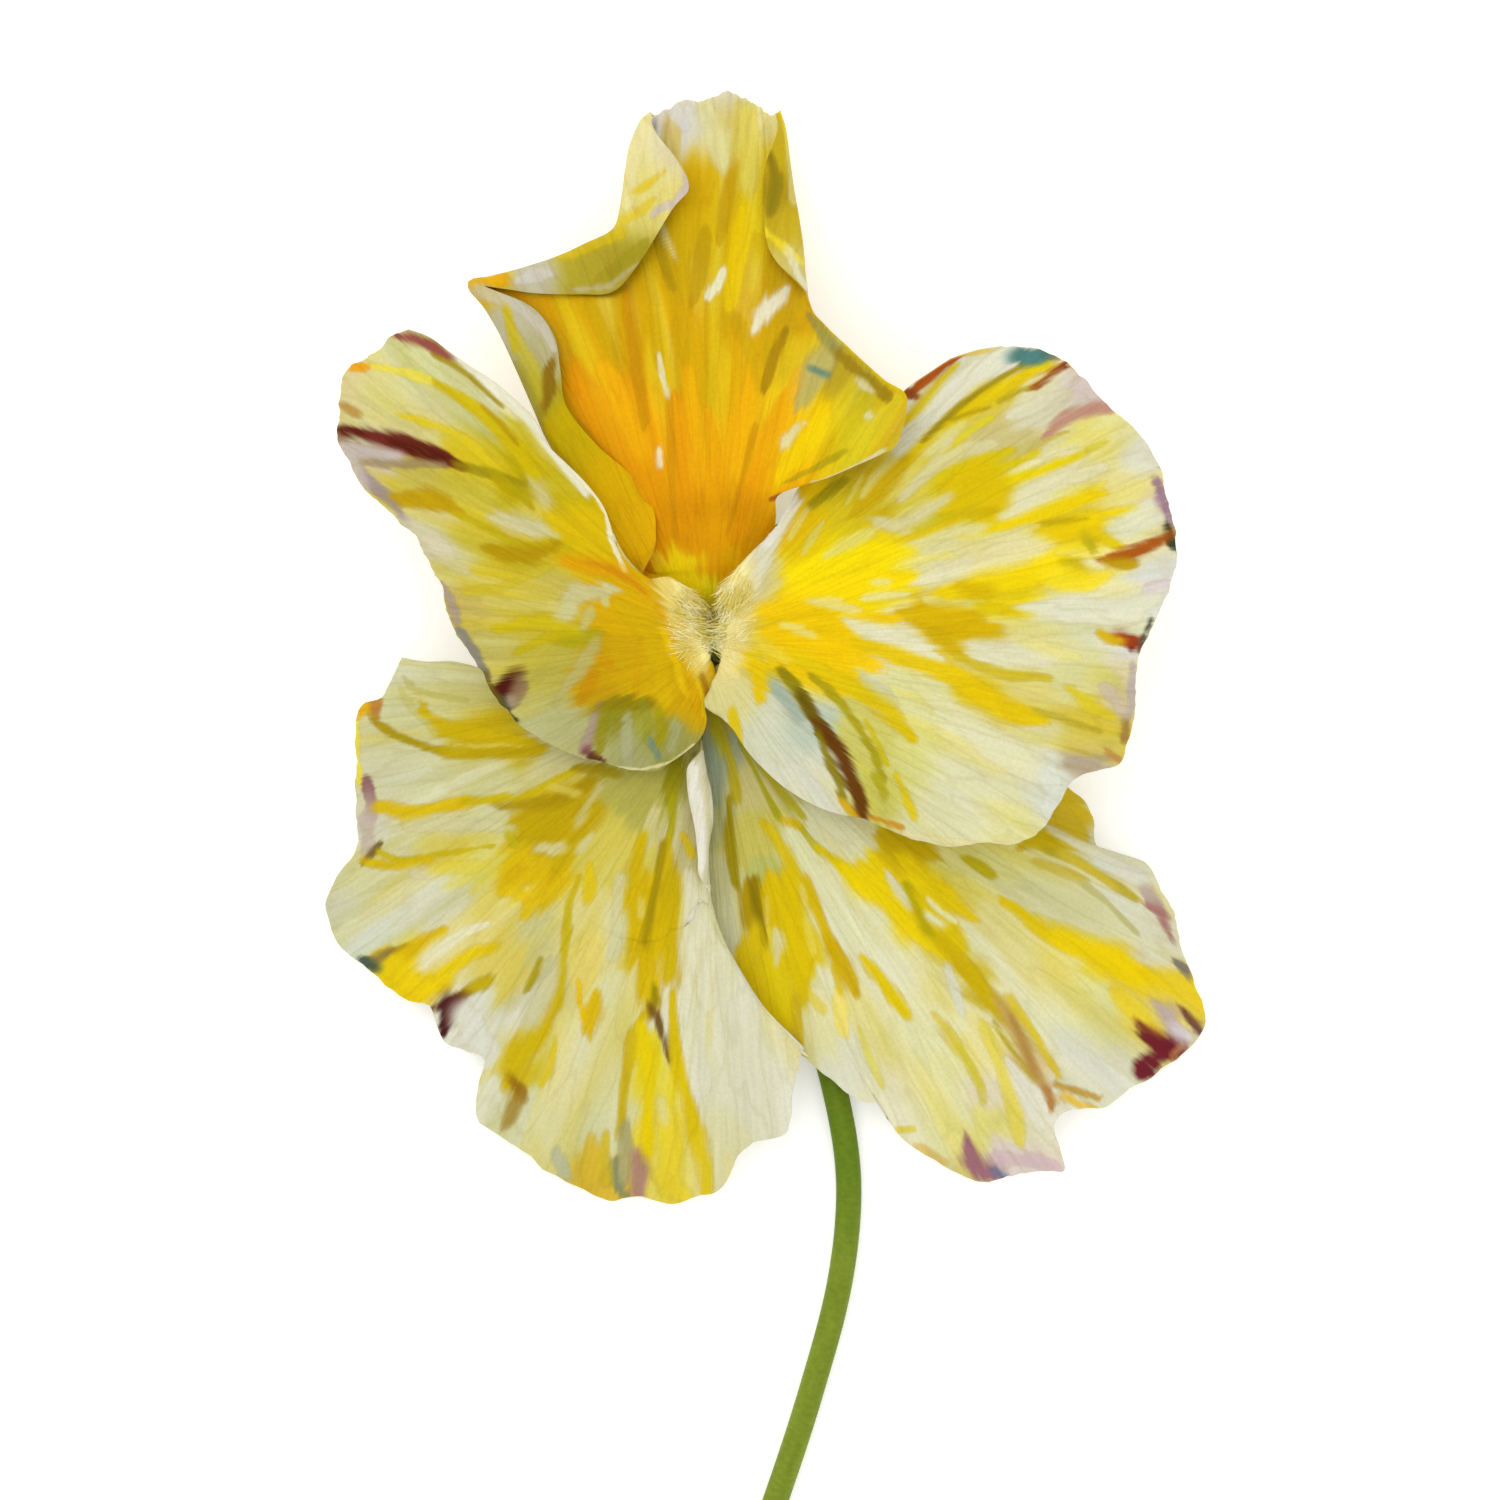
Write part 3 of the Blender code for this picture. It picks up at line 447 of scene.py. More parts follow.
def veinPlaces(form, grid):   # the veins fan out of the throat: how far round the fan a point is, and how far out
    x, y = pictureSpot(grid)
    rootX, rootY, reach, heading = form["veins"]
    angle = np.arctan2(rootY - y, x - rootX) - math.radians(heading)
    angle = (angle + math.pi) % (2 * math.pi) - math.pi
    return angle / 1.75 + 0.5, np.hypot(x - rootX, y - rootY) / reach


def addRelief(form, grid, u, v):   # soft pleats along the veins, fine ribs and a frilled margin
    seed = form["seed"]
    fan, out = veinPlaces(form, grid)
    normals = sheetNormals(grid)
    body = ease((v - 0.16) / 0.25)
    pleats = form["pleat"] * grain(fan * 11 + 3, out * 2.2, seed) * body
    ribs = 0.035 * grain(fan * 42, out * 5.0, seed + 1) * body
    frill = form["frill"] * grain(u * 30, v * 6.0, seed + 2) * ease((v - 0.82) / 0.18)
    grid = grid + normals * (pleats + ribs + frill)[..., None]
    along = unit(np.gradient(grid, axis=0))
    notch = form["notch"] * (grain(u * 70, v * 0 + 1, seed + 3) + 0.6 * grain(u * 150, v * 0, seed + 4))
    return grid + along * (notch * ease((v - 0.93) / 0.07))[..., None]


def washOver(spots, x, y):   # broad tones that melt into one another
    total = np.zeros(x.shape + (3,))
    weights = np.full(x.shape, 1e-6)
    for ink, wx, wy, reach in spots:
        away = (x - wx) ** 2 + (y - wy) ** 2
        w = np.exp(-away / reach**2) + 1e-5 / (1 + away / 900)   # the second part fills what no wash reaches
        total += w[..., None] * inkTone(ink)
        weights += w
    return total / weights[..., None]


strokeMargin = 60   # how far beyond its path, in pixels, a stroke can reach


def brush(base, strokes, spots, width, within=None):   # each stroke: tone, strength, then x, y and half width along it
    x, y, dx, dy, comb, fray = spots
    coat = np.concatenate([base, np.zeros(x.shape + (1,))], axis=-1)   # the tone, and how fully it covers
    for ink, strength, *path in strokes:
        path = np.array(path, float).reshape(-1, 3)
        near = ((x > path[:, 0].min() - strokeMargin) & (x < path[:, 0].max() + strokeMargin)
                & (y > path[:, 1].min() - strokeMargin) & (y < path[:, 1].max() + strokeMargin))
        if not near.any():
            continue
        heading = path[-1, :2] - path[0, :2]
        heading = heading / max(np.hypot(*heading), 1e-6)
        # Strokes across the veins keep straight sides
        alike = np.abs(dx[near] * heading[0] + dy[near] * heading[1])
        most = 0.75 * path[:, 2].mean()
        shift = np.clip(comb[near] * np.clip((alike - 0.75) / 0.2, 0.1, 1.0), -most, most)
        px, py = x[near] + dx[near] * shift, y[near] + dy[near] * shift
        away = np.full(px.shape, 9.0)
        for (ax, ay, aw), (bx, by, bw) in zip(path, path[1:] if len(path) > 1 else path):
            span = math.hypot(bx - ax, by - ay)
            ex, ey = ((bx - ax) / span, (by - ay) / span) if span else (1.0, 0.0)
            along, aside = (px - ax) * ex + (py - ay) * ey, (py - ay) * ex - (px - ax) * ey
            t = np.clip(along / span, 0, 1) if span else 0 * px
            distance = np.hypot(aside, (along - t * span) * (0.55 if span else 1))   # the ends run out slowly
            away = np.minimum(away, distance / (aw + (bw - aw) * t) / width)
        cover = (1 - ease((away + 0.5 * fray[near] - 0.2) / 1.25))[:, None]
        if within is not None:
            cover = cover * within[near][:, None]
        tone, under = coat[near][:, :3], base[near]
        shown = under + (tone - under) * coat[near][:, 3:]
        shown = shown + (inkTone(ink) - shown) * strength
        below = coat[near][:, 3:] * (1 - cover)
        total = np.maximum(below + cover, 1e-6)
        fresh = np.where(below + cover > 1e-6, (tone * below + shown * cover) / total, tone)
        coat[near] = np.concatenate([fresh, below + cover], axis=1)
    return coat


def paintPetal(form, grid, u, v):   # front and back, each as a base and two coats of marks
    seed = form["seed"] + 40
    x, y = pictureSpot(grid)
    fan, out = veinPlaces(form, grid)
    dx, dy = x - form["veins"][0], y - form["veins"][1]
    size = np.maximum(np.hypot(dx, dy), 1e-6)
    dx, dy = dx / size, dy / size
    reach = np.clip(out * 1.6, 0.15, 1.0)
    comb = (0.5 * grain(fan * 34, out * 3.5, seed) + 0.5 * grain(fan * 90, out * 6.0, seed + 1)) * reach
    comb = comb * petalBuild["combReach"]
    fray = 0.6 * grain(fan * 52, out * 6.0, seed + 3) + 0.4 * grain(fan * 100, out * 12.0, seed + 4)
    spots = (x, y, dx, dy, comb, fray)
    front = washOver(form["washes"], x + dx * comb * 2, y + dy * comb * 2)
    for ink, strength, count, run, level, low, high in form["streaks"]:   # loose marbling along the veins
        field = grain(fan * count + 0.6 * grain(fan * 9, out * 5, seed + 5), out * run, seed + 7 + int(count))
        cover = strength * ease((field - level) / 0.4) * ease((out - low) / 0.15) * (1 - ease((out - high) / 0.1))
        front = front + (inkTone(ink) - front) * cover[..., None]
    groups = [[stroke for stroke in form["strokes"] if (stroke[0] in groundInks) == ground] for ground in (True, False)]
    widths = petalBuild["strokeWidths"]
    ground = brush(front, groups[0], spots, widths[0])
    top = brush(front + (ground[..., :3] - front) * ground[..., 3:], groups[1], spots, widths[1])
    fade, backTone = petalBuild["backFade"], screenTone(form["backTone"])
    back = front + (backTone - front) * fade
    backCoats = [layer.copy() for layer in (ground, top)]
    for layer in backCoats:
        layer[..., :3] += (backTone - layer[..., :3]) * fade
    if "backStrokes" in form:
        turned = ease((0.35 - sheetNormals(grid)[..., 2]) / 0.3)   # only where the roll shows its back
        back = back + (washOver(form["backWashes"], x, y) - back) * turned[..., None]
        for layer in backCoats:
            layer[..., 3] *= 1 - turned
        shown = brush(back, form["backStrokes"], spots, widths[1], turned)
        backCoats[1] = np.where(turned[..., None] > 0, shown, backCoats[1])
    return (front, ground, top), (back, *backCoats)


def buildPetal(name, form, slot):
    build = petalBuild
    grid, u, v = petalGrid(form)
    grid = addRelief(form, grid, u, v)
    coats = paintPetal(form, grid, u, v)
    span = np.minimum(np.minimum(u - u.min(), u.max() - u) * 12, (1 - v) * 12)
    thickness = build["rimThickness"] + (build["thickness"] - build["rimThickness"]) * ease(span)
    points, faces = closedSheet(grid, thickness)
    tones, *marks = [np.concatenate([front.reshape(-1, front.shape[-1]), back.reshape(-1, front.shape[-1])])
                     for front, back in zip(*coats)]
    places = np.stack(veinPlaces(form, grid), axis=-1).reshape(-1, 2)
    places = np.concatenate([places, places + [0.37, 0.0]])
    if "spur" in form:
        extra, extraFaces, extraTones = buildSpur(form["spur"], len(points))
        points, faces = np.concatenate([points, extra]), faces + extraFaces
        tones = np.concatenate([tones, extraTones])
        marks = [np.concatenate([layer, np.zeros((len(extra), 4))]) for layer in marks]
        places = np.concatenate([places, extra[:, :2] * 0.05])
    settle(makeMesh("skin_" + name, points, faces, finishes[slot], tones, places, marks=marks), name)
    return grid, v


def tubeGrid(line, radii, sides, roundness=None):   # rings of points round a line, without twist
    line = np.asarray(line, float)
    tangent = unit(np.gradient(line, axis=0))
    side = np.zeros_like(line)
    side[0] = unit(np.cross(tangent[0], [0.3, 1.0, 0.2]))
    for k in range(1, len(line)):
        side[k] = unit(side[k - 1] - tangent[k] * (side[k - 1] @ tangent[k]))
    other = np.cross(tangent, side)
    angle = np.arange(sides) / sides * fullTurn
    scale = radii[:, None] * (1 if roundness is None else roundness(angle)[None])
    return line[:, None] + (side[:, None] * (np.cos(angle)[None] * scale)[..., None]
                            + other[:, None] * (np.sin(angle)[None] * scale)[..., None])


def closeTube(rings, start=0):   # a tube whose first and last rings close on a middle point, as (points, faces)
    count, sides = rings.shape[:2]
    points = np.concatenate([rings.reshape(-1, 3), rings[0].mean(0)[None], rings[-1].mean(0)[None]])
    faces = gridFaces(count, sides, start, wrap=True)
    first, last = start + count * sides, start + count * sides + 1
    for k in range(sides):
        n = (k + 1) % sides
        faces.append((start + n, start + k, first))
        faces.append((start + (count - 1) * sides + k, start + (count - 1) * sides + n, last))
    return points, faces


spurForm = dict(line=[(0.0, 6.5, 7.2), (0.0, 7.6, 6.4), (0.0, 8.5, 5.2), (0.0, 9.1, 3.9), (0.0, 9.4, 3.3),
                      (0.0, 9.5, 2.75), (0.0, 9.52, 2.3)],
                radii=[0.9, 0.9, 0.9, 0.94, 1.0, 0.86, 0.3], sides=32, steps=44, tone="#c3bb62", tip="#9a8a72")


def buildSpur(spur, start):
    line = np.array(spur["line"])
    marks = runningLength(line)
    t = np.linspace(0, 1, spur["steps"] + 1)
    centres = smoothCurve(line, marks, t)
    radii = smoothCurve(np.array(spur["radii"])[:, None], marks, t)[:, 0]
    points, faces = closeTube(tubeGrid(centres, radii, spur["sides"]), start)
    height = ease((points[:, 2] - 2.6) / 2.5)[:, None]
    return points, faces, screenTone(spur["tip"]) * (1 - height) + screenTone(spur["tone"]) * height


finishes = dict(
    gold_petal=petalFinish("goldPetalSkin", linearTone("#d9b45c")),
    cream_petal=petalFinish("creamPetalSkin", linearTone("#cdbf6a")),
)

spurredPetal = dict(
    clawAngle=90.0, veins=(712, 680, 590, 92), crown=0.8, seed=11, pleat=0.2, frill=0.12, notch=0.08,
    backTone="#dccf9c", spur=spurForm,
    rollSpans=((0.168, 0.235, 2, 3), (0.69, 0.78, 2, 3)),
    left=[
        (-1.6, 6.8, 7.9), (-3.8, 8.1, 8.7), (-6.3, 10.0, 9.0), (-8.5, 13.2, 9.3), (-10.3, 16.5, 9.5),
        (-12.2, 19.3, 9.5), (-13.3, 21.9, 9.4), (-14.4, 24.5, 9.1), (-15.7, 27.4, 8.7), (-16.9, 29.5, 8.3),
        (-18.1, 31.2, 8.0), (-16.7, 31.6, 7.6), (-14.4, 32.3, 7.2), (-11.8, 33.1, 7.0), (-9.2, 34.2, 6.8),
        (-7.3, 35.3, 6.5), (-6.8, 37.1, 5.6), (-6.5, 39.8, 4.2), (-6.2, 41.6, 3.0), (-5.4, 43.5, 1.8),
        (-4.7, 44.1, 1.3)],
    leftRoll=[
        (-1.2, 7.2, 8.6), (-2.8, 9.1, 9.7), (-4.1, 11.5, 10.4), (-4.4, 14.3, 10.6), (-6.2, 17.0, 10.8),
        (-8.6, 19.1, 11.0), (-10.9, 22.0, 10.9), (-11.4, 24.9, 10.8), (-11.9, 27.4, 10.4), (-13.7, 29.6, 9.8),
        (-17.1, 31.0, 9.3), (-15.3, 30.8, 9.4), (-13.3, 30.5, 9.7), (-9.9, 30.4, 9.8), (-7.3, 30.7, 9.6),
        (-5.2, 33.2, 8.9), (-3.0, 36.8, 7.6), (-1.5, 38.6, 6.4), (-2.2, 40.9, 4.9), (-3.9, 43.0, 3.0),
        (-4.4, 43.7, 2.1)],
    end=[
        (-3.3, 44.7, 1.0), (-2.4, 45.2, 0.8), (-0.9, 45.3, 0.6), (0.2, 45.6, 0.45), (1.1, 46.0, 0.35),
        (2.3, 45.6, 0.5), (3.4, 45.1, 0.8), (4.4, 44.4, 1.2)],
    right=[
        (1.6, 6.8, 7.9), (3.1, 8.1, 8.6), (3.8, 10.0, 9.1), (4.6, 12.0, 9.6), (4.8, 13.9, 10.4),
        (4.9, 15.3, 11.9), (6.5, 16.0, 12.5), (8.5, 16.6, 12.7), (10.4, 17.4, 12.7), (12.2, 18.2, 12.9),
        (13.7, 19.0, 13.0), (14.3, 20.3, 13.0), (14.6, 21.8, 12.9), (14.5, 23.0, 12.8), (13.0, 24.0, 12.4),
        (11.5, 25.3, 11.9), (10.2, 26.5, 11.3), (8.7, 27.9, 10.6), (7.5, 29.3, 9.9), (7.0, 31.5, 8.8),
        (6.8, 33.8, 7.6), (6.5, 35.9, 6.4), (6.1, 38.3, 5.0), (5.8, 40.5, 3.6), (5.5, 42.8, 2.3),
        (5.1, 44.2, 1.5)],
    rightRoll=[
        (1.3, 7.2, 8.6), (2.7, 8.6, 9.4), (3.3, 10.2, 9.9), (4.1, 12.2, 10.3), (4.2, 14.1, 11.4),
        (4.4, 15.8, 12.8), (6.1, 16.7, 13.3), (8.2, 17.3, 13.5), (10.1, 18.1, 13.4), (11.8, 18.9, 13.6),
        (13.0, 19.6, 13.7), (13.5, 20.5, 13.7), (13.7, 21.6, 13.6), (13.5, 22.4, 13.5), (12.4, 23.4, 13.1),
        (10.9, 24.6, 12.6), (9.6, 25.8, 12.2), (8.1, 27.4, 11.7), (6.7, 29.5, 11.1), (5.8, 31.5, 10.3),
        (4.3, 33.8, 9.2), (3.9, 35.9, 8.0), (3.8, 38.3, 6.5), (3.9, 40.6, 5.0), (4.5, 42.7, 3.5),
        (4.7, 43.8, 2.3)],
    washes=[
        # Painted light: the wash at (712, 550) in the throat is brighter than the petal's own orange, to lift the shade
        # there
        ("#dcc812", 700, 600, 22), ("#ecb002", 712, 550, 30), ("#e29a02", 705, 505, 40), ("#eea303", 650, 455, 40),
        ("#f0a202", 600, 410, 32), ("#f0b202", 755, 455, 34), ("#f6ca02", 810, 430, 26), ("#d2a702", 700, 350, 45),
        ("#d2a402", 640, 340, 40), ("#cfa504", 585, 325, 34), ("#c9a504", 680, 255, 40), ("#dfc004", 735, 235, 34),
        ("#dab004", 706, 185, 28), ("#e4cc30", 746, 190, 22), ("#e0d68c", 728, 140, 24), ("#dad6be", 712, 105, 22),
        ("#d8d4c8", 668, 115, 26), ("#d0c018", 850, 430, 26), ("#c4b01c", 885, 415, 22), ("#a89a34", 830, 370, 22),
        ("#cda204", 628, 500, 30), ("#b6a204", 585, 452, 26), ("#aca008", 555, 425, 20), ("#dcb002", 520, 292, 20),
        ("#c8a006", 780, 320, 30), ("#d2a904", 760, 275, 24)],
    streaks=[("amber", 0.35, 40, 4.0, 0.0, 0.2, 0.62), ("ochre", 0.45, 46, 5.0, 0.05, 0.3, 0.92),
             ("lemon", 0.4, 34, 4.0, 0.1, 0.35, 0.88), ("cream", 0.2, 60, 6.0, 0.35, 0.45, 0.85)],
    strokes=[
        ("#ddd89c", .9, 706,104,12, 714,128,14, 720,152,9), ("#dfd05c", .85, 746,118,9, 750,150,12, 748,184,9),
        ("#d6d2cc", .8, 668,104,8, 684,122,6),
        ("orange", .8, 652,560,8, 642,505,12, 615,452,14, 592,412,14, 576,378,9),
        ("orange", .75, 668,548,10, 657,480,12, 642,430,10, 628,385,7),
        ("orange", .8, 690,560,12, 692,500,14, 684,450,9, 676,405,5),
        ("#eaa602", .8, 714,556,14, 716,505,14, 714,455,7, 708,410,4),
        ("orange", .7, 732,545,10, 750,492,10, 766,450,7, 781,402,5), ("amber", .8, 640,440,8, 622,400,9, 606,372,7),
        ("amber", .7, 700,470,7, 695,420,8, 690,380,6), ("amber", .8, 738,470,8, 745,420,9, 752,380,8),
        ("amber", .8, 770,450,8, 788,410,9, 798,385,6), ("yellow", .8, 790,462,9, 812,436,11, 822,415,7),
        ("#d09202", .7, 676,540,3, 672,470,3, 670,400,3), ("#c88c02", .6, 728,530,2, 742,480,3, 754,430,3),
        ("#c88e02", .7, 646,420,5, 636,360,6, 626,300,6), ("ochre", .7, 612,350,5, 590,310,6),
        ("ochre", .6, 660,360,4, 655,310,5, 650,270,5), ("#a88a06", .7, 672,290,5, 664,262,6, 658,240,4),
        ("#b89406", .7, 705,240,6, 700,275,6, 695,300,4), ("#c49a04", .7, 732,175,5, 726,205,6, 720,235,4),
        ("yellow", .6, 742,230,9, 738,262,8, 732,300,5), ("lemon", .6, 752,170,8, 756,200,7, 758,232,4),
        ("ochre", .75, 778,262,8, 772,280,8, 766,296,4), ("#a07a04", .75, 786,332,4, 774,358,5, 766,384,4),
        ("ochre", .6, 740,330,5, 752,360,6, 758,385,4), ("white", .85, 757,330,5, 765,312,8, 778,300,8, 786,291,4),
        ("white", .8, 709,297,3, 715,285,4.5, 721,274,3.5), ("cream", .6, 661,226,4, 667,242,5, 674,258,3),
        ("white", .7, 660,358,2, 662,373,3), ("white", .7, 664,380,2, 668,394,2.5),
        ("white", .75, 660,455,3.5, 661,466,3.5), ("cream", .8, 797,427,4, 787,440,5), ("cream", .7, 806,424,3),
        ("#b8ae6c", .8, 806,395,8, 818,372,12, 832,352,9), ("#5d7f78", .8, 814,370,3, 824,374,4),
        ("#8e8a4e", .7, 812,320,5, 832,346,6), ("#94760e", .75, 840,356,6, 858,372,6, 884,394,5),
        ("cream", .7, 862,384,5, 870,390,3), ("cream", .7, 869,416,4),
        ("gold", .9, 820,322,3, 850,348,3.5, 880,374,3.5, 906,393,3.5),
        ("#a39612", .6, 842,453,3, 812,470,3, 788,481,2),
        ("cream", .8, 884,449,2, 860,464,2.5, 836,477,2.5, 812,483,2),
        ("rust", .8, 772,497,1.8, 786,493,2.4, 802,488,1.6),
        ("#e0a202", .8, 480,285,4, 510,292,5, 540,305,5, 552,318,3), ("#d8a002", .6, 548,300,6, 560,330,5, 566,360,4),
        # Painted light: these throat strokes are brighter than the petal's own gold and orange, to lift the shade deep
        # in the throat
        ("#ffd61c", .9, 655,556,7, 664,568,9, 680,584,12), ("#fce00a", .9, 668,572,8, 684,566,11, 700,590,11),
        ("#f0e214", .95, 710,592,8, 713,620,8, 713,640,7), ("#ecb804", .7, 735,560,8, 742,585,8)],
    backWashes=[
        ("#e2d67e", 640, 175, 38), ("#dccf6c", 632, 215, 20), ("#ded9c4", 668, 150, 20), ("#b0a028", 600, 262, 34),
        ("#a39320", 632, 262, 20), ("#c2bda0", 535, 275, 18), ("#dcb408", 492, 282, 16), ("#bdb693", 520, 315, 20),
        ("#b4ad7c", 540, 350, 20), ("#a5962c", 528, 395, 20), ("#c4a800", 570, 445, 30), ("#dcae00", 610, 490, 34),
        # Painted shade: the dark olive-brown wash at (772, 195) is the shade in the fold of the right roll
        ("#e0ae00", 640, 540, 34), ("#c8ac14", 778, 150, 26), ("#a58c12", 772, 195, 18), ("#c8ac1c", 786, 225, 20),
        ("#cfbf62", 796, 270, 22), ("#c8bc80", 805, 300, 20), ("#d8c048", 850, 350, 30), ("#c8b860", 800, 480, 40)],
    backStrokes=[
        ("lilac", .8, 657,118,4, 676,140,5, 690,165,5, 690,184,5, 674,203,4, 656,215,3),
        ("#e6dca0", .7, 640,130,7, 632,170,6, 628,205,5), ("gold", .6, 636,192,3, 650,184,3, 664,172,2),
        ("gold", .5, 624,222,4, 640,212,4, 654,200,2), ("#cdc9bc", .85, 522,280,5, 535,276,8, 547,274,4),
        ("#d5b80c", .7, 566,256,6, 596,244,6, 618,236,5), ("#a2941c", .7, 606,276,6, 628,262,7, 642,246,5),
        ("#c4b428", .7, 520,345,5, 532,370,7, 540,400,6), ("#c0b49c", .6, 574,290,3, 610,286,3, 636,266,2),
        ("#e3a90a", .8, 474,284,4, 500,280,5), ("#c8c2b0", .8, 484,292,5, 512,302,6, 540,322,6, 552,346,4),
        # Painted shade: the dark brown stroke #8a680a is the shade deep in the left roll, and #8f7d0c on the next line
        # is the shade along the fold of the right roll
        ("#c9b30e", .8, 508,316,4, 512,332,5, 514,346,3), ("#8a680a", .9, 552,362,4, 550,385,6, 546,404,5),
        ("#a3983c", .7, 520,372,6, 532,402,6, 542,424,5), ("#8f7d0c", .85, 770,162,5, 774,185,6, 771,212,5),
        ("#f2d20a", .9, 776,100,4, 785,124,6, 789,148,5), ("#d9cf88", .7, 786,130,4, 790,170,4, 792,200,4),
        ("lemon", .7, 764,232,4, 786,250,4, 800,262,3), ("white", .6, 790,255,4, 802,285,5, 808,306,3),
        ("gold", .7, 820,322,3, 850,348,3, 880,374,3, 904,392,3)],
)

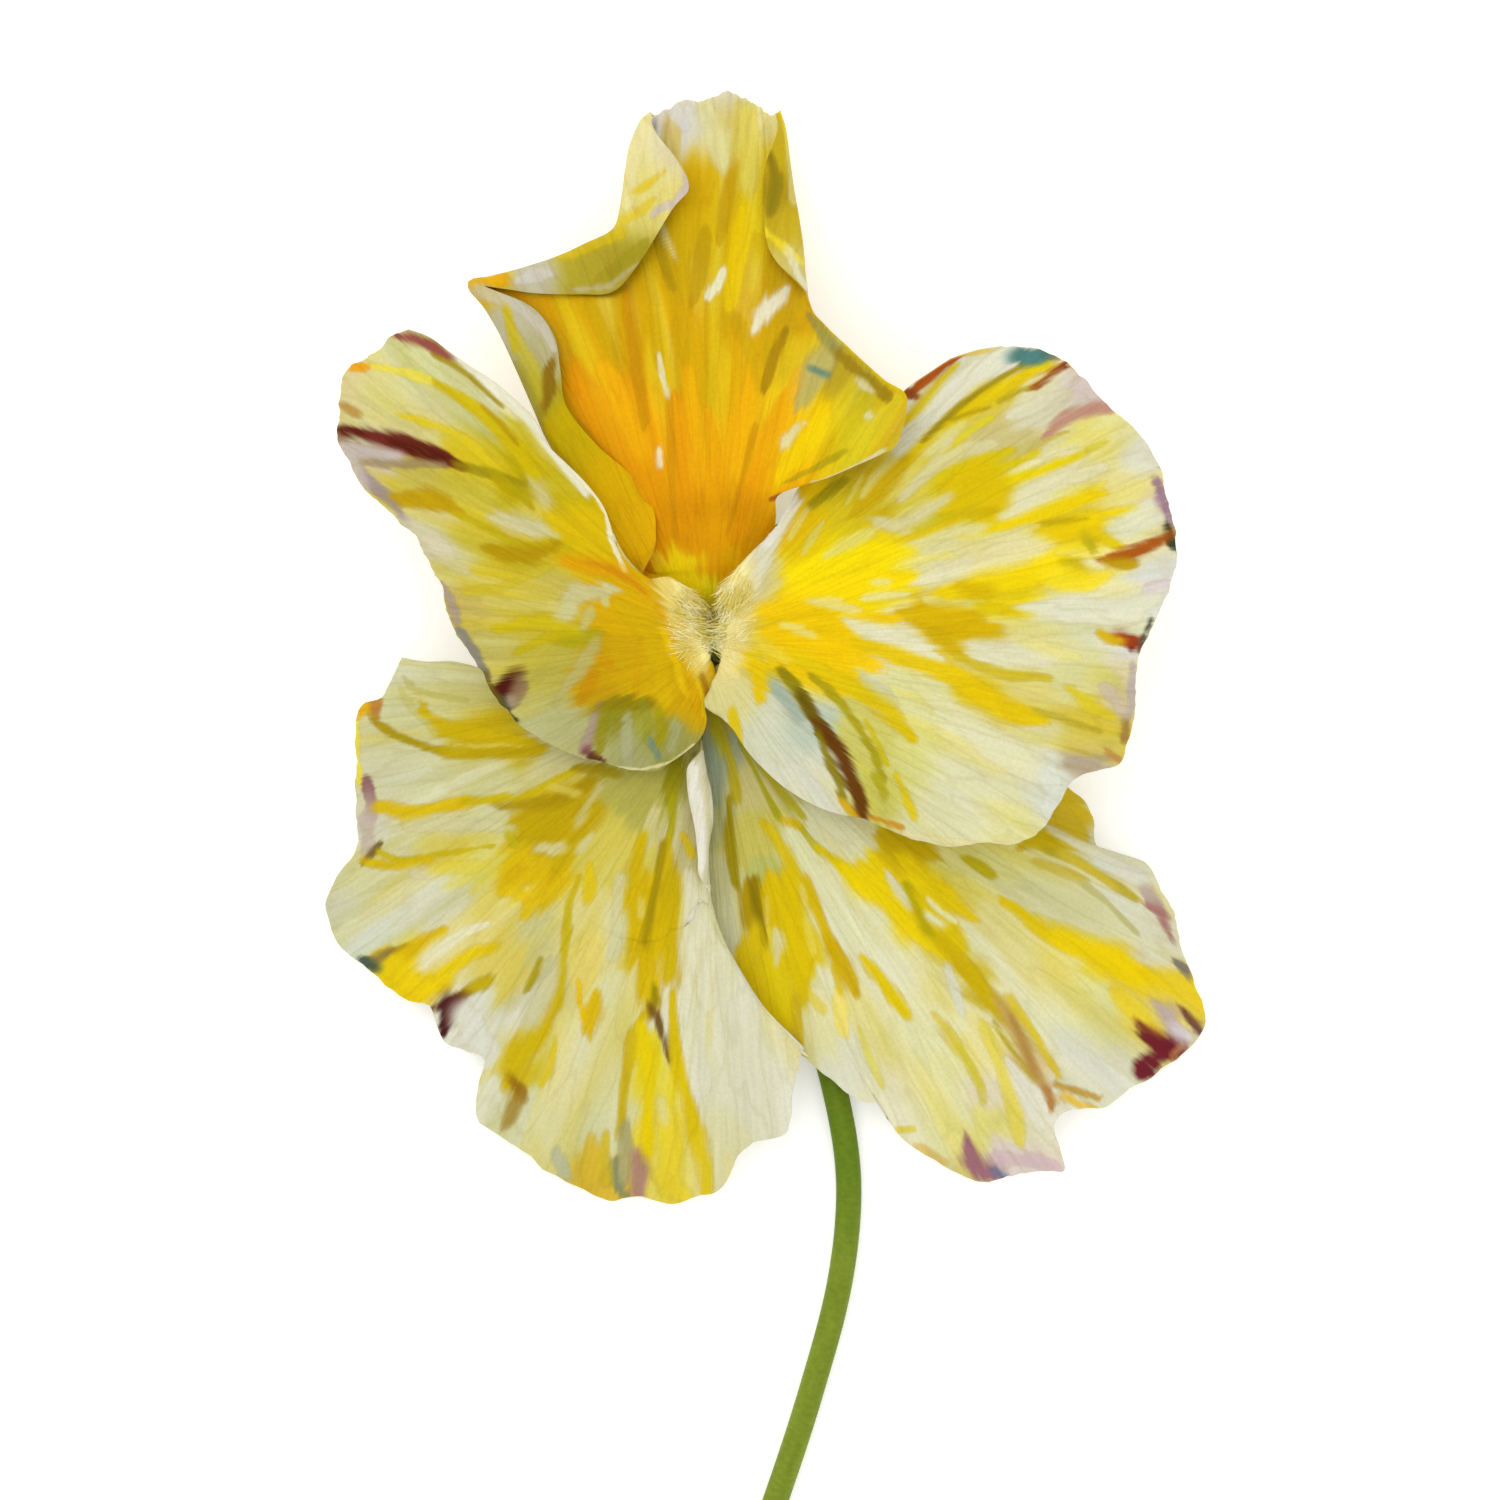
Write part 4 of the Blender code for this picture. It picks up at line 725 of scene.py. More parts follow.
sideLeftPetal = dict(
    clawAngle=165.0, veins=(722, 640, 500, 170), hollow=1.6, lipReach=2.75, lipLift=0.5, tuck=0.16,
    seed=23, pleat=0.2, frill=0.16, notch=0.1, backTone="#d8d2b4",
    left=[
        (-2.5, 2.6, 8.6), (-0.18, 1.8, 10.3), (-0.5, -0.4, 10.6), (-0.4, -1.7, 10.9), (-0.9, -2.9, 10.9),
        (-2.1, -4.0, 10.7), (-4.1, -5.3, 10.4)],
    end=[
        (-24.2, 27.2, 10.4), (-25.0, 26.3, 10.2), (-26.3, 25.5, 10.4), (-27.3, 25.0, 10.8), (-27.8, 23.6, 10.8),
        (-27.9, 21.8, 10.2), (-28.0, 19.5, 9.6), (-27.2, 17.9, 9.4), (-26.3, 16.1, 9.8), (-24.9, 14.8, 10.2),
        (-23.6, 13.5, 10.4), (-22.3, 12.4, 10.0), (-21.2, 10.5, 9.4), (-20.3, 8.8, 9.2), (-19.9, 7.1, 9.6),
        (-19.4, 5.6, 10.0), (-18.4, 3.8, 10.2), (-17.4, 2.3, 10.0), (-16.4, 0.6, 9.6), (-15.3, -0.9, 9.4),
        (-13.7, -2.3, 9.6), (-11.8, -3.5, 9.8), (-9.9, -4.3, 10.0), (-8.0, -4.7, 10.2), (-5.8, -5.3, 10.4)][::-1],
    right=[
        (-2.0, 5.8, 8.6), (-0.9, 7.3, 10.4), (-2.0, 8.4, 11.2), (-3.3, 9.2, 11.4), (-4.7, 9.1, 11.7),
        (-5.9, 9.8, 12.0), (-6.9, 11.3, 12.2), (-7.5, 12.8, 12.3), (-8.2, 14.6, 12.3), (-9.5, 16.3, 12.3),
        (-11.0, 17.8, 12.2), (-12.3, 19.1, 12.2), (-13.3, 21.0, 12.2), (-14.8, 22.5, 12.3), (-16.3, 23.8, 12.2),
        (-17.8, 24.8, 12.0), (-19.7, 26.1, 11.6), (-21.2, 27.2, 11.2), (-22.8, 27.8, 10.8)],
    washes=[
        ("#d3d2a6", 395, 385, 30), ("#d4ccb6", 352, 385, 16), ("#cdcf86", 425, 358, 20), ("#e6e4cc", 500, 392, 14),
        ("#e2e0c4", 545, 440, 12), ("#c9c680", 460, 395, 22), ("#cfcba8", 430, 418, 18), ("#c3c172", 475, 425, 18),
        ("#cdb822", 480, 450, 20), ("#bda804", 525, 460, 20), ("#c8bc3a", 520, 415, 16), ("#c3ae0a", 560, 490, 20),
        ("#c9bdae", 385, 452, 18), ("#c4b650", 410, 476, 20), ("#c9b93e", 470, 500, 20), ("#b4a102", 512, 485, 16),
        ("#c9be6c", 540, 492, 14), ("#cdc052", 530, 512, 18), ("#d2cca6", 432, 532, 22), ("#cdbd3c", 480, 530, 18),
        ("#ccc58e", 525, 528, 18), ("#d8b804", 575, 530, 24), ("#d0cb96", 462, 568, 14), ("#c2a404", 520, 553, 20),
        ("#d0c040", 500, 590, 26), ("#c9ba58", 540, 590, 20), ("#c2af5c", 470, 610, 18), ("#cbb82a", 540, 625, 22),
        ("#c3b75c", 490, 645, 24), ("#b9ae48", 545, 665, 26), ("#d8ac02", 640, 612, 30), ("#d2a902", 660, 670, 28),
        ("#cba204", 610, 660, 22), ("#c69804", 592, 685, 16), ("#b7b57a", 545, 722, 24), ("#b4b074", 585, 735, 18),
        ("#8f8a1c", 615, 720, 16), ("#a09c30", 645, 722, 12), ("#a6a468", 630, 745, 16), ("#9c9a4c", 668, 740, 18),
        ("#d2a604", 692, 705, 16), ("#c8b45a", 690, 610, 20)],
    streaks=[("yellow", 0.2, 30, 4.0, 0.1, 0.3, 0.97), ("cream", 0.25, 38, 4.5, 0.15, 0.35, 1.0),
             ("olive", 0.15, 54, 5.0, 0.2, 0.3, 0.95)],
    strokes=[
        ("#e9e7d0", .95, 452,354,3, 480,374,6, 510,398,8, 530,420,8, 545,442,7, 562,464,5, 582,488,4),
        ("#ece8cc", .9, 570,465,1.5, 596,497,1.5, 606,512,2.5, 610,530,3, 616,552,2.5, 624,570,2),
        ("#94443e", .9, 400,337,4.5, 416,342,7.5, 434,350,6.5, 448,358,4),
        ("#a08c14", .85, 436,357,2.5, 456,367,3, 472,378,2.5, 486,391,2, 500,404,2),
        ("lemon", .6, 374,367,2.5, 402,372,3, 430,380,3.5),
        ("#cfb602", .9, 438,384,3.5, 460,397,5, 480,410,6, 500,430,7, 516,450,7, 532,474,6),
        # Painted shade: the olive stroke #c2b024 is the shade under the pale rolled rim
        ("#b08e04", .7, 484,408,2, 500,423,2.5, 514,441,2), ("#c2b024", .6, 520,424,4, 545,456,4, 570,490,5),
        ("#dfc71a", .85, 403,416,3, 422,421,5, 444,429,5, 463,438,5, 480,452,5, 500,470,5),
        ("#6c2018", .95, 344,428,8.5, 362,433,7.5, 384,439,7.5, 404,445,8, 424,450,7, 444,457,5.5, 462,466,3.5),
        ("#541608", .8, 342,427,4, 360,431,3.5), ("#541a08", .85, 396,443,4.5, 416,449,5, 438,456,4, 456,463,2.5),
        ("#97880a", .8, 462,466,4, 480,471,4, 505,477,4.5, 522,482,4),
        ("#c6bab0", .85, 350,447,5, 372,451,6, 396,455,5),
        ("#9c8660", .75, 362,461,3, 385,463,4, 415,464,4, 440,464,3), ("#b78a3a", .8, 344,407,4.5, 352,412,5),
        ("#e8a412", .95, 355,367,5, 363,367,4.5), ("#9a8888", .85, 364,477,5, 376,489,6, 390,500,6, 402,512,5),
        ("#c4b8ae", .8, 344,448,4, 354,464,5, 364,482,4),
        ("#c09c02", .95, 396,496,4, 412,501,8, 430,502,10, 446,505,8, 460,512,5),
        ("#cdc484", .8, 530,482,5, 540,492,7, 545,505,4), ("#cfc896", .9, 500,520,6, 520,527,9, 540,530,8, 555,534,4),
        ("#b09c02", .85, 498,476,4, 510,486,8, 522,494,7, 530,504,4),
        ("#c0ac0a", .85, 462,516,3, 480,525,4, 495,532,5, 510,541,4, 530,546,4, 552,544,5, 566,548,5),
        ("#b59402", .95, 496,549,6, 512,553,9, 530,553,9, 548,549,6, 556,545,4),
        ("#d6cfae", .7, 414,524,6, 432,536,9, 446,552,7), ("#dabb04", .8, 560,522,9, 580,540,10, 600,556,7),
        ("#dfa002", .9, 568,562,7, 590,567,9, 612,571,7, 632,580,4, 648,594,3),
        ("#cf8c06", .7, 590,563,2.5, 612,569,3, 632,580,2.5, 645,592,2),
        ("#cdb820", .6, 470,592,4, 500,588,5, 530,575,5, 556,562,4), ("#d0c98e", .8, 456,566,6, 466,570,6),
        ("#cfc266", .7, 560,606,6, 535,606,6, 510,605,6, 490,602,5),
        ("#cdc78e", .95, 566,612,9, 574,598,10, 590,591,8, 606,590,7, 612,590,5),
        ("#cdc78e", .85, 606,592,5, 606,600,4), ("#c5bd74", .85, 590,612,5, 584,628,5, 581,638,3),
        ("#d6b002", .85, 620,604,6, 642,622,10, 658,652,12, 664,690,11),
        ("#d69a02", .7, 658,608,3, 668,622,4, 676,640,3), ("#f0c804", .7, 664,632,3, 676,660,4, 684,690,4),
        ("#e0ac02", .7, 686,650,4, 692,680,5, 697,705,5), ("#f0ce08", .8, 698,672,3, 703,695,3, 706,714,3),
        ("#d0a002", .6, 640,640,3, 638,670,3, 636,690,3), ("#cc9402", .8, 596,655,4, 606,662,5),
        ("#c48e02", .85, 592,676,6, 588,686,7, 583,696,6), ("#aea002", .8, 560,640,5, 575,640,8, 592,634,6),
        ("#cdb80c", .85, 500,628,4, 520,624,5, 545,622,6, 565,628,6),
        ("#c2ae04", .7, 520,650,4, 540,640,4, 560,632,5),
        ("#b9b16c", .85, 594,645,6, 587,658,7, 578,672,6, 566,688,5, 556,702,4),
        ("#4a1008", .97, 499,690,8, 507,684,9), ("#8e7258", .8, 519,688,7, 514,700,6), ("#a39478", .8, 511,702,5),
        ("#3a3c30", .9, 503,704,4, 509,714,4.5, 514,718,3),
        ("#85807c", .85, 462,634,4, 470,645,4, 478,660,4.5, 486,674,4),
        ("#6a5a18", .8, 486,676,3.5, 492,690,4, 500,702,3.5), ("#a3928c", .75, 443,588,3.5, 450,600,4.5, 456,618,4),
        ("#a58e86", .8, 600,708,3.5, 594,725,5, 588,742,7), ("#8a5a54", .9, 588,750,5),
        ("#54241c", .9, 594,757,4.5, 600,759,3), ("#8c7c04", .85, 608,706,5, 625,702,7, 645,704,6),
        ("#928810", .8, 604,716,5, 601,735,6, 600,748,4), ("#949428", .6, 645,708,4.5, 648,722,4.5, 646,738,3),
        ("#abab80", .8, 628,722,5, 627,740,7, 628,756,6), ("#a29608", .8, 660,712,4, 662,735,5, 655,750,3),
        ("#6f8b7c", .8, 651,742,3, 657,754,4), ("#a8aa74", .8, 676,728,5, 672,745,5),
        ("#e2d9a0", .8, 566,757,1.8, 600,765,1.8, 640,770,1.8, 672,762,1.8, 692,746,1.6),
        # Painted light: the two pale lip strokes are brighter than the lip's own cream, to lift the shade where it
        # turns down over the throat; painted shade: #a0720c is the dark gap below the lips
        ("#eed87c", .9, 664,584,10, 678,604,14, 690,636,14, 698,662,9),
        ("#fff6a8", .9, 684,592,7, 697,612,8, 702,636,7, 704,654,5), ("#a0720c", .85, 703,678,3.5, 706,690,3)],
)

sideRightPetal = dict(
    clawAngle=15.0, veins=(700, 640, 500, 5), hollow=1.6, lipReach=3.3, lipLift=0.7, tuck=0.84,
    seed=37, pleat=0.22, frill=0.16, notch=0.1, backTone="#dcd8b8",
    left=[
        (2.0, 5.8, 8.6), (0.9, 7.3, 10.4), (2.0, 8.7, 11.4), (2.7, 9.6, 11.7), (3.6, 11.2, 11.8),
        (4.7, 12.8, 11.5), (5.6, 14.3, 10.9), (6.4, 15.8, 10.5), (7.6, 17.3, 10.4), (10.3, 19.4, 10.5),
        (13.0, 21.6, 10.7), (14.7, 23.4, 10.9), (16.4, 24.5, 11.0), (17.9, 25.4, 11.0)],
    end=[
        (19.7, 26.2, 10.4), (22.0, 26.5, 9.8), (24.2, 26.3, 10.2), (26.1, 25.6, 11.0), (27.8, 24.2, 11.2),
        (29.3, 22.5, 10.6), (31.4, 20.6, 10.0), (32.7, 19.1, 9.4), (33.6, 17.3, 9.2), (34.2, 15.0, 9.6),
        (34.7, 12.8, 10.2), (34.9, 10.9, 10.4), (34.4, 8.6, 9.8), (33.5, 6.4, 9.0), (32.3, 4.1, 8.6),
        (31.8, 2.3, 9.0), (31.7, 0.0, 9.6), (31.4, -2.6, 9.4), (30.5, -4.7, 8.8), (29.0, -5.3, 9.2),
        (27.2, -5.9, 9.8), (26.1, -7.5, 10.0), (25.0, -9.4, 9.4), (22.7, -10.8, 9.0), (20.5, -10.7, 9.2),
        (17.9, -11.0, 9.6), (15.6, -10.5, 9.8), (13.4, -9.4, 10.0), (11.5, -8.9, 10.2)],
    right=[
        (2.5, 2.6, 8.6), (-0.02, 1.9, 10.65), (0.5, 0.4, 10.5), (1.0, -0.8, 10.8), (1.7, -2.3, 11.0),
        (2.7, -3.9, 11.0), (4.0, -5.3, 11.0), (5.5, -6.6, 10.8), (7.7, -7.9, 10.6), (10.0, -8.6, 10.4)],
    washes=[
        ("#d6cb8e", 755, 580, 20), ("#ddb804", 800, 530, 20), ("#f6dc02", 840, 572, 34), ("#f0ca02", 800, 630, 30),
        ("#c8aa02", 875, 492, 20), ("#d2be1c", 850, 520, 18), ("#d9ca4c", 905, 490, 20), ("#dac40c", 975, 495, 26),
        ("#e0e0ca", 985, 368, 24), ("#ddd9bc", 925, 425, 16), ("#e0c404", 990, 395, 16), ("#dcd8b6", 1040, 402, 20),
        ("#d8cbc0", 1090, 392, 16), ("#cfc27e", 1000, 432, 20), ("#e2dc94", 1110, 432, 20),
        ("#dcdcc6", 1140, 452, 14), ("#e8dc70", 1085, 452, 20), ("#e3ddb0", 1060, 482, 26),
        ("#e6dc90", 1120, 488, 20), ("#dfddb2", 1030, 505, 18), ("#e4c604", 1070, 525, 24),
        ("#e0e1c0", 1135, 518, 20), ("#d9cbbc", 1158, 505, 12), ("#e6dfa2", 1000, 556, 26),
        ("#f4e040", 1060, 552, 20), ("#eee490", 1110, 580, 20), ("#dcdcd2", 1155, 582, 18),
        ("#efd404", 1010, 586, 26), ("#e4dea8", 945, 572, 16), ("#ddd78e", 940, 540, 20), ("#dab604", 950, 622, 22),
        ("#e3e3c4", 1070, 612, 28), ("#e3e3c8", 1120, 612, 22), ("#e4e1b8", 900, 640, 20), ("#dedcb6", 1010, 648, 24),
        ("#e1da86", 1060, 650, 18), ("#d3cf84", 1085, 672, 20), ("#d4d0c8", 1125, 670, 12),
        ("#dbcb5e", 1030, 690, 18), ("#c9bba2", 1118, 702, 14), ("#d7c24c", 1090, 732, 20),
        ("#b9a88e", 1085, 762, 16), ("#dabc04", 990, 700, 18), ("#e1deb2", 980, 770, 44), ("#d9dccb", 1050, 790, 22),
        ("#e2dc8a", 1010, 820, 18), ("#dedc9a", 920, 700, 22), ("#d9d67c", 915, 760, 22), ("#cfc866", 870, 740, 18),
        ("#c9c258", 885, 795, 20), ("#dcd9a8", 930, 820, 26), ("#d3d5b8", 770, 730, 26), ("#d8d8c0", 810, 785, 24),
        ("#b9c6b0", 803, 732, 16), ("#ddd48c", 740, 705, 16), ("#d8c864", 742, 640, 18)],
    streaks=[("yellow", 0.18, 30, 3.4, 0.1, 0.3, 0.95), ("white", 0.2, 38, 4.2, 0.15, 0.35, 1.0),
             ("olive", 0.12, 54, 5.0, 0.25, 0.35, 0.85)],
    strokes=[
        ("#dcc204", .85, 905,420,5, 920,405,6, 940,380,5, 955,366,3),
        ("#e0e0c8", .95, 903,452,5, 920,430,8, 937,410,9, 957,388,10, 982,368,10, 1008,355,6),
        ("#b04c04", .9, 919,386,3.5, 932,375,4.5, 945,364,4, 958,357,2.5), ("#8e3c08", .9, 904,392,4, 912,395,4),
        ("#e6c860", .8, 962,354,3, 985,350,2.5),
        ("#e2c602", .95, 905,465,5, 930,440,5, 948,424,5, 968,410,7, 990,394,8, 1015,382,8, 1045,368,6),
        ("#96800a", .8, 926,439,2, 945,421,2.5, 962,405,2.5, 985,389,2.5, 1005,376,2.5, 1024,366,2.5),
        ("#b0940c", .75, 955,419,2, 975,411,2.5, 988,408,2),
        ("#b09a10", .7, 1000,402,2.5, 1018,392,2.5, 1034,387,2.5),
        ("#9a4a08", .95, 1034,387,3.5, 1044,381,4.5, 1054,373,5, 1064,366,4.5), ("#7a2e2e", .8, 1065,366,4),
        ("orange", .9, 1073,366,3.5), ("#7d6840", .8, 1046,355,4, 1056,358,3),
        ("#447876", .92, 1026,357,7, 1037,357,7), ("#e0d21a", .8, 958,440,3.5, 975,426,4, 992,418,3),
        ("#dedab6", .9, 1012,412,6, 1040,402,8, 1065,394,6), ("#dbccc4", .85, 1082,384,7, 1092,394,7),
        ("#c08a78", .88, 1106,411,6, 1088,411,8, 1070,416,8, 1056,426,6, 1042,438,3.5),
        ("#c8b02c", .7, 1028,452,2.5, 1044,442,2.5, 1066,432,2), ("#d8c204", .85, 958,464,5, 985,459,5, 1008,452,3),
        ("#d9d29c", .9, 903,498,4, 920,480,5, 940,463,6, 965,451,6, 992,441,4),
        ("#e1d97c", .8, 928,452,4, 946,434,4.5, 964,422,3),
        ("#e8e4b0", .9, 1004,479,2.5, 1020,469,3.5, 1036,460,3.5, 1052,452,2.5),
        ("#dcc804", .85, 990,472,3, 1015,463,4, 1036,453,2.5),
        ("#ead402", .95, 998,483,4, 1028,475,5.5, 1054,465,6, 1076,458,4),
        ("#dece16", .85, 1070,458,3, 1088,450,4.5, 1102,443,4),
        ("#e3deb2", .9, 1012,499,5, 1040,488,8, 1070,477,8, 1100,468,6),
        ("#e6d84c", .7, 1050,496,2.5, 1078,489,3, 1104,482,2.5),
        ("#dcbe02", .9, 950,505,8, 965,490,14, 985,485,12, 995,500,10, 985,516,9),
        ("#c4a602", .6, 955,518,3, 975,514,4, 992,510,3),
        ("#e1ddb4", .92, 1004,518,4, 1022,511,7, 1046,502,7, 1074,494,3.5),
        ("#e6cc04", .9, 960,536,3, 990,529,4, 1012,525,4),
        ("#ecd002", .96, 1008,525,4, 1040,514,6.5, 1068,505,8, 1094,498,7, 1108,494,4),
        ("#f0d402", .95, 1060,531,8, 1085,522,9, 1112,513,6.5, 1136,508,4),
        ("#e4c402", .9, 1048,534,7, 1070,530,9, 1092,530,7),
        ("#bea002", .75, 1046,523,2.5, 1066,521,3.5, 1086,519,2.5), ("#e2c802", .85, 1100,536,6, 1116,545,5),
        ("#bcae12", .8, 1088,541,6, 1092,549,4), ("#e1e2be", .92, 1112,529,5, 1132,520,9, 1148,510,9),
        ("#9a7888", .92, 1157,482,4.5, 1161,494,5.5, 1167,511,4.5, 1171,524,3.5), ("#dab22c", .8, 1160,468,2.5),
        ("#2c3a24", .95, 1168,530,4.5, 1173,543,4.5),
        ("#a8520a", .95, 1166,536,6, 1150,544,7.5, 1134,551,7.5, 1118,556,5.5, 1106,559,3),
        ("#c29c04", .85, 1110,561,3.5, 1130,563,5), ("#f6de06", .9, 1030,572,6, 1048,562,7, 1062,560,5),
        ("#c4ae04", .85, 1068,562,5, 1080,563,6), ("#ebe5b4", .8, 1092,563,4, 1102,565,3),
        ("#e7dfa4", .9, 965,566,9, 1000,556,12, 1034,547,9), ("#d9c9cd", .8, 1150,588,6, 1164,584,4),
        ("#f2d602", .95, 945,592,8, 975,586,11, 1010,582,12, 1045,576,12, 1080,578,8),
        ("#f8e228", .85, 1060,580,9, 1085,584,7, 1105,578,5), ("#d8b602", .8, 964,588,7, 982,592,7),
        ("#e6e1b6", .92, 922,580,6, 940,574,9, 958,568,7),
        ("#ded790", .92, 904,551,5, 928,541,8, 952,533,8, 974,531,6),
        ("#c2b206", .75, 918,528,4, 935,521,6, 948,516,4), ("#dcbe02", .8, 898,541,4, 925,534,4, 955,521,4),
        ("#d8d19a", .92, 878,522,5, 898,524,7, 922,513,8, 948,497,5),
        ("#f8e002", .95, 800,572,10, 835,562,16, 870,556,15, 900,552,8),
        ("#fadd02", .9, 800,592,10, 850,586,10, 900,580,6), ("#eee06c", .6, 905,565,6, 925,560,4, 950,556,4),
        ("#e8e29a", .85, 870,597,3.5, 888,595,4.5, 906,594,3), ("#e9e1a0", .8, 876,583,3.5, 884,582,3),
        ("#e1d98c", .85, 924,598,3.5, 948,604,4, 982,603,3.5),
        ("#dab602", .97, 905,613,6, 930,617,11, 958,624,14, 985,631,9, 996,634,4),
        ("#cfae04", .9, 935,636,6, 952,648,7, 962,655,4), ("#e2c804", .9, 985,605,4, 1006,611,5, 1030,613,3),
        ("#e4e4c6", .9, 1030,608,6, 1070,608,11, 1120,610,12, 1150,600,8),
        ("#e0ddba", .9, 976,646,7, 1010,650,10, 1048,658,7), ("#e6de88", .75, 1020,640,5, 1050,650,6, 1080,658,4),
        ("#a03c12", .97, 1126,638,6, 1134,641,7.5), ("#dcb80c", .92, 1102,633,3.5, 1112,638,5, 1120,640,4),
        ("#6a1c14", .8, 1132,650,4), ("#4a4a3c", .85, 1152,620,2.5, 1146,634,3, 1140,650,2.5),
        ("#f4cc02", .92, 772,612,9, 800,612,12, 835,622,9, 870,618,7, 892,618,5),
        ("#f6cc02", .9, 772,636,9, 805,642,11, 842,650,12, 868,662,8),
        ("#ecdf8c", .85, 812,602,3.5, 832,603,5, 852,609,5), ("#ecdf84", .8, 784,624,3, 800,630,4.5, 812,635,3.5),
        ("#e5e2bc", .95, 848,621,4, 870,629,8, 898,641,10, 922,650,10, 938,658,5),
        ("#e6c602", .92, 858,645,5, 895,656,7, 930,667,7, 958,677,8, 982,694,10, 1006,709,10, 1036,716,6),
        ("#b8a82a", .75, 1040,712,3, 1066,720,4, 1095,730,3),
        ("#ccb61c", .85, 955,656,4, 985,668,4.5, 1012,677,4.5, 1050,679,3),
        ("#dcc81c", .8, 1075,694,5, 1092,706,8, 1112,716,5), ("#cbbca4", .8, 1108,692,6, 1120,708,6),
        ("#b9aca8", .85, 1133,668,3.5, 1133,690,4.5, 1131,712,3.5), ("#a07c3c", .85, 1126,724,3.5, 1124,738,4),
        ("#c18c4a", .85, 1108,752,5, 1116,758,4), ("#b7a68e", .85, 1072,764,6, 1092,762,7),
        ("#e2dfb8", .8, 940,700,7, 980,730,14, 1020,770,16), ("#dcdfcf", .8, 1050,770,8, 1052,805,9),
        ("#e0dd9a", .6, 900,675,5, 925,690,6, 945,705,5), ("#cfd1ae", .9, 866,680,5, 880,692,7, 890,700,5),
        ("#dcc002", .93, 848,684,5, 866,696,8, 885,709,9, 900,723,7, 911,738,3.5),
        ("#e4c808", .85, 800,660,5, 825,672,6, 850,688,6),
        ("#a89a0e", .85, 812,677,3, 828,689,4.5, 842,706,4.5, 860,730,4, 874,752,3.5, 882,775,4),
        ("#cdb90a", .8, 866,722,2.5, 878,744,3, 886,762,2.5), ("#aca412", .8, 876,778,5, 884,795,4.5),
        ("#dac20e", .88, 897,776,3, 905,795,4.5, 913,815,4.5), ("#8c7e06", .9, 783,672,4.5, 795,688,6, 805,702,6),
        ("#6a5602", .95, 802,698,5, 813,714,7, 824,732,7.5),
        ("#663804", .97, 824,732,7.5, 838,752,9, 848,770,8.5, 857,790,7.5, 864,816,6.5),
        ("#877806", .85, 818,735,4, 828,758,4, 838,780,4.5, 844,796,4), ("#d6aa12", .85, 846,806,4, 856,817,3.5),
        ("#cb8e22", .85, 874,818,2.5, 900,826,3), ("#a2b2a2", .9, 772,682,5, 784,698,7, 796,714,6),
        ("#e8c602", .95, 742,652,6, 754,665,9, 760,684,7, 759,698,3.5), ("#ead23c", .8, 762,642,6, 782,658,5),
        ("#e6cc10", .8, 735,668,5), ("#dfc204", .88, 733,714,4, 738,736,4.5, 743,754,3),
        ("#e4d9a0", .8, 905,833,2, 950,842,2, 1008,845,2), ("#a0920a", .85, 812,505,4, 826,495,5, 842,484,4),
        ("#c8a602", .85, 858,510,7, 874,494,9, 892,476,8, 906,462,5),
        ("#d4c95c", .8, 848,502,2.5, 856,488,3.5, 864,475,2.5), ("#d8cc74", .85, 864,494,3, 876,476,4, 892,460,3.5),
        ("#e3da74", .85, 826,556,3, 846,545,6, 870,533,5), ("#dfcf70", .8, 791,536,2.5, 798,524,3.5, 806,511,2.5),
        ("#dccf66", .8, 806,549,3.5, 813,538,4.5, 820,527,3),
        ("#dcd8ba", .95, 792,502,6, 778,524,8, 764,552,9, 750,580,10),
        # Painted light: the two pale lip strokes are brighter than the lip's own cream, to lift the shade where it
        # turns down over the throat
        ("#f2e29a", .9, 738,585,14, 732,625,16, 730,658,12), ("#fff6ae", .9, 734,580,8, 727,600,9, 722,625,6),
        ("#e9e6da", .9, 794,502,3.5, 780,520,4, 768,542,4)],
)

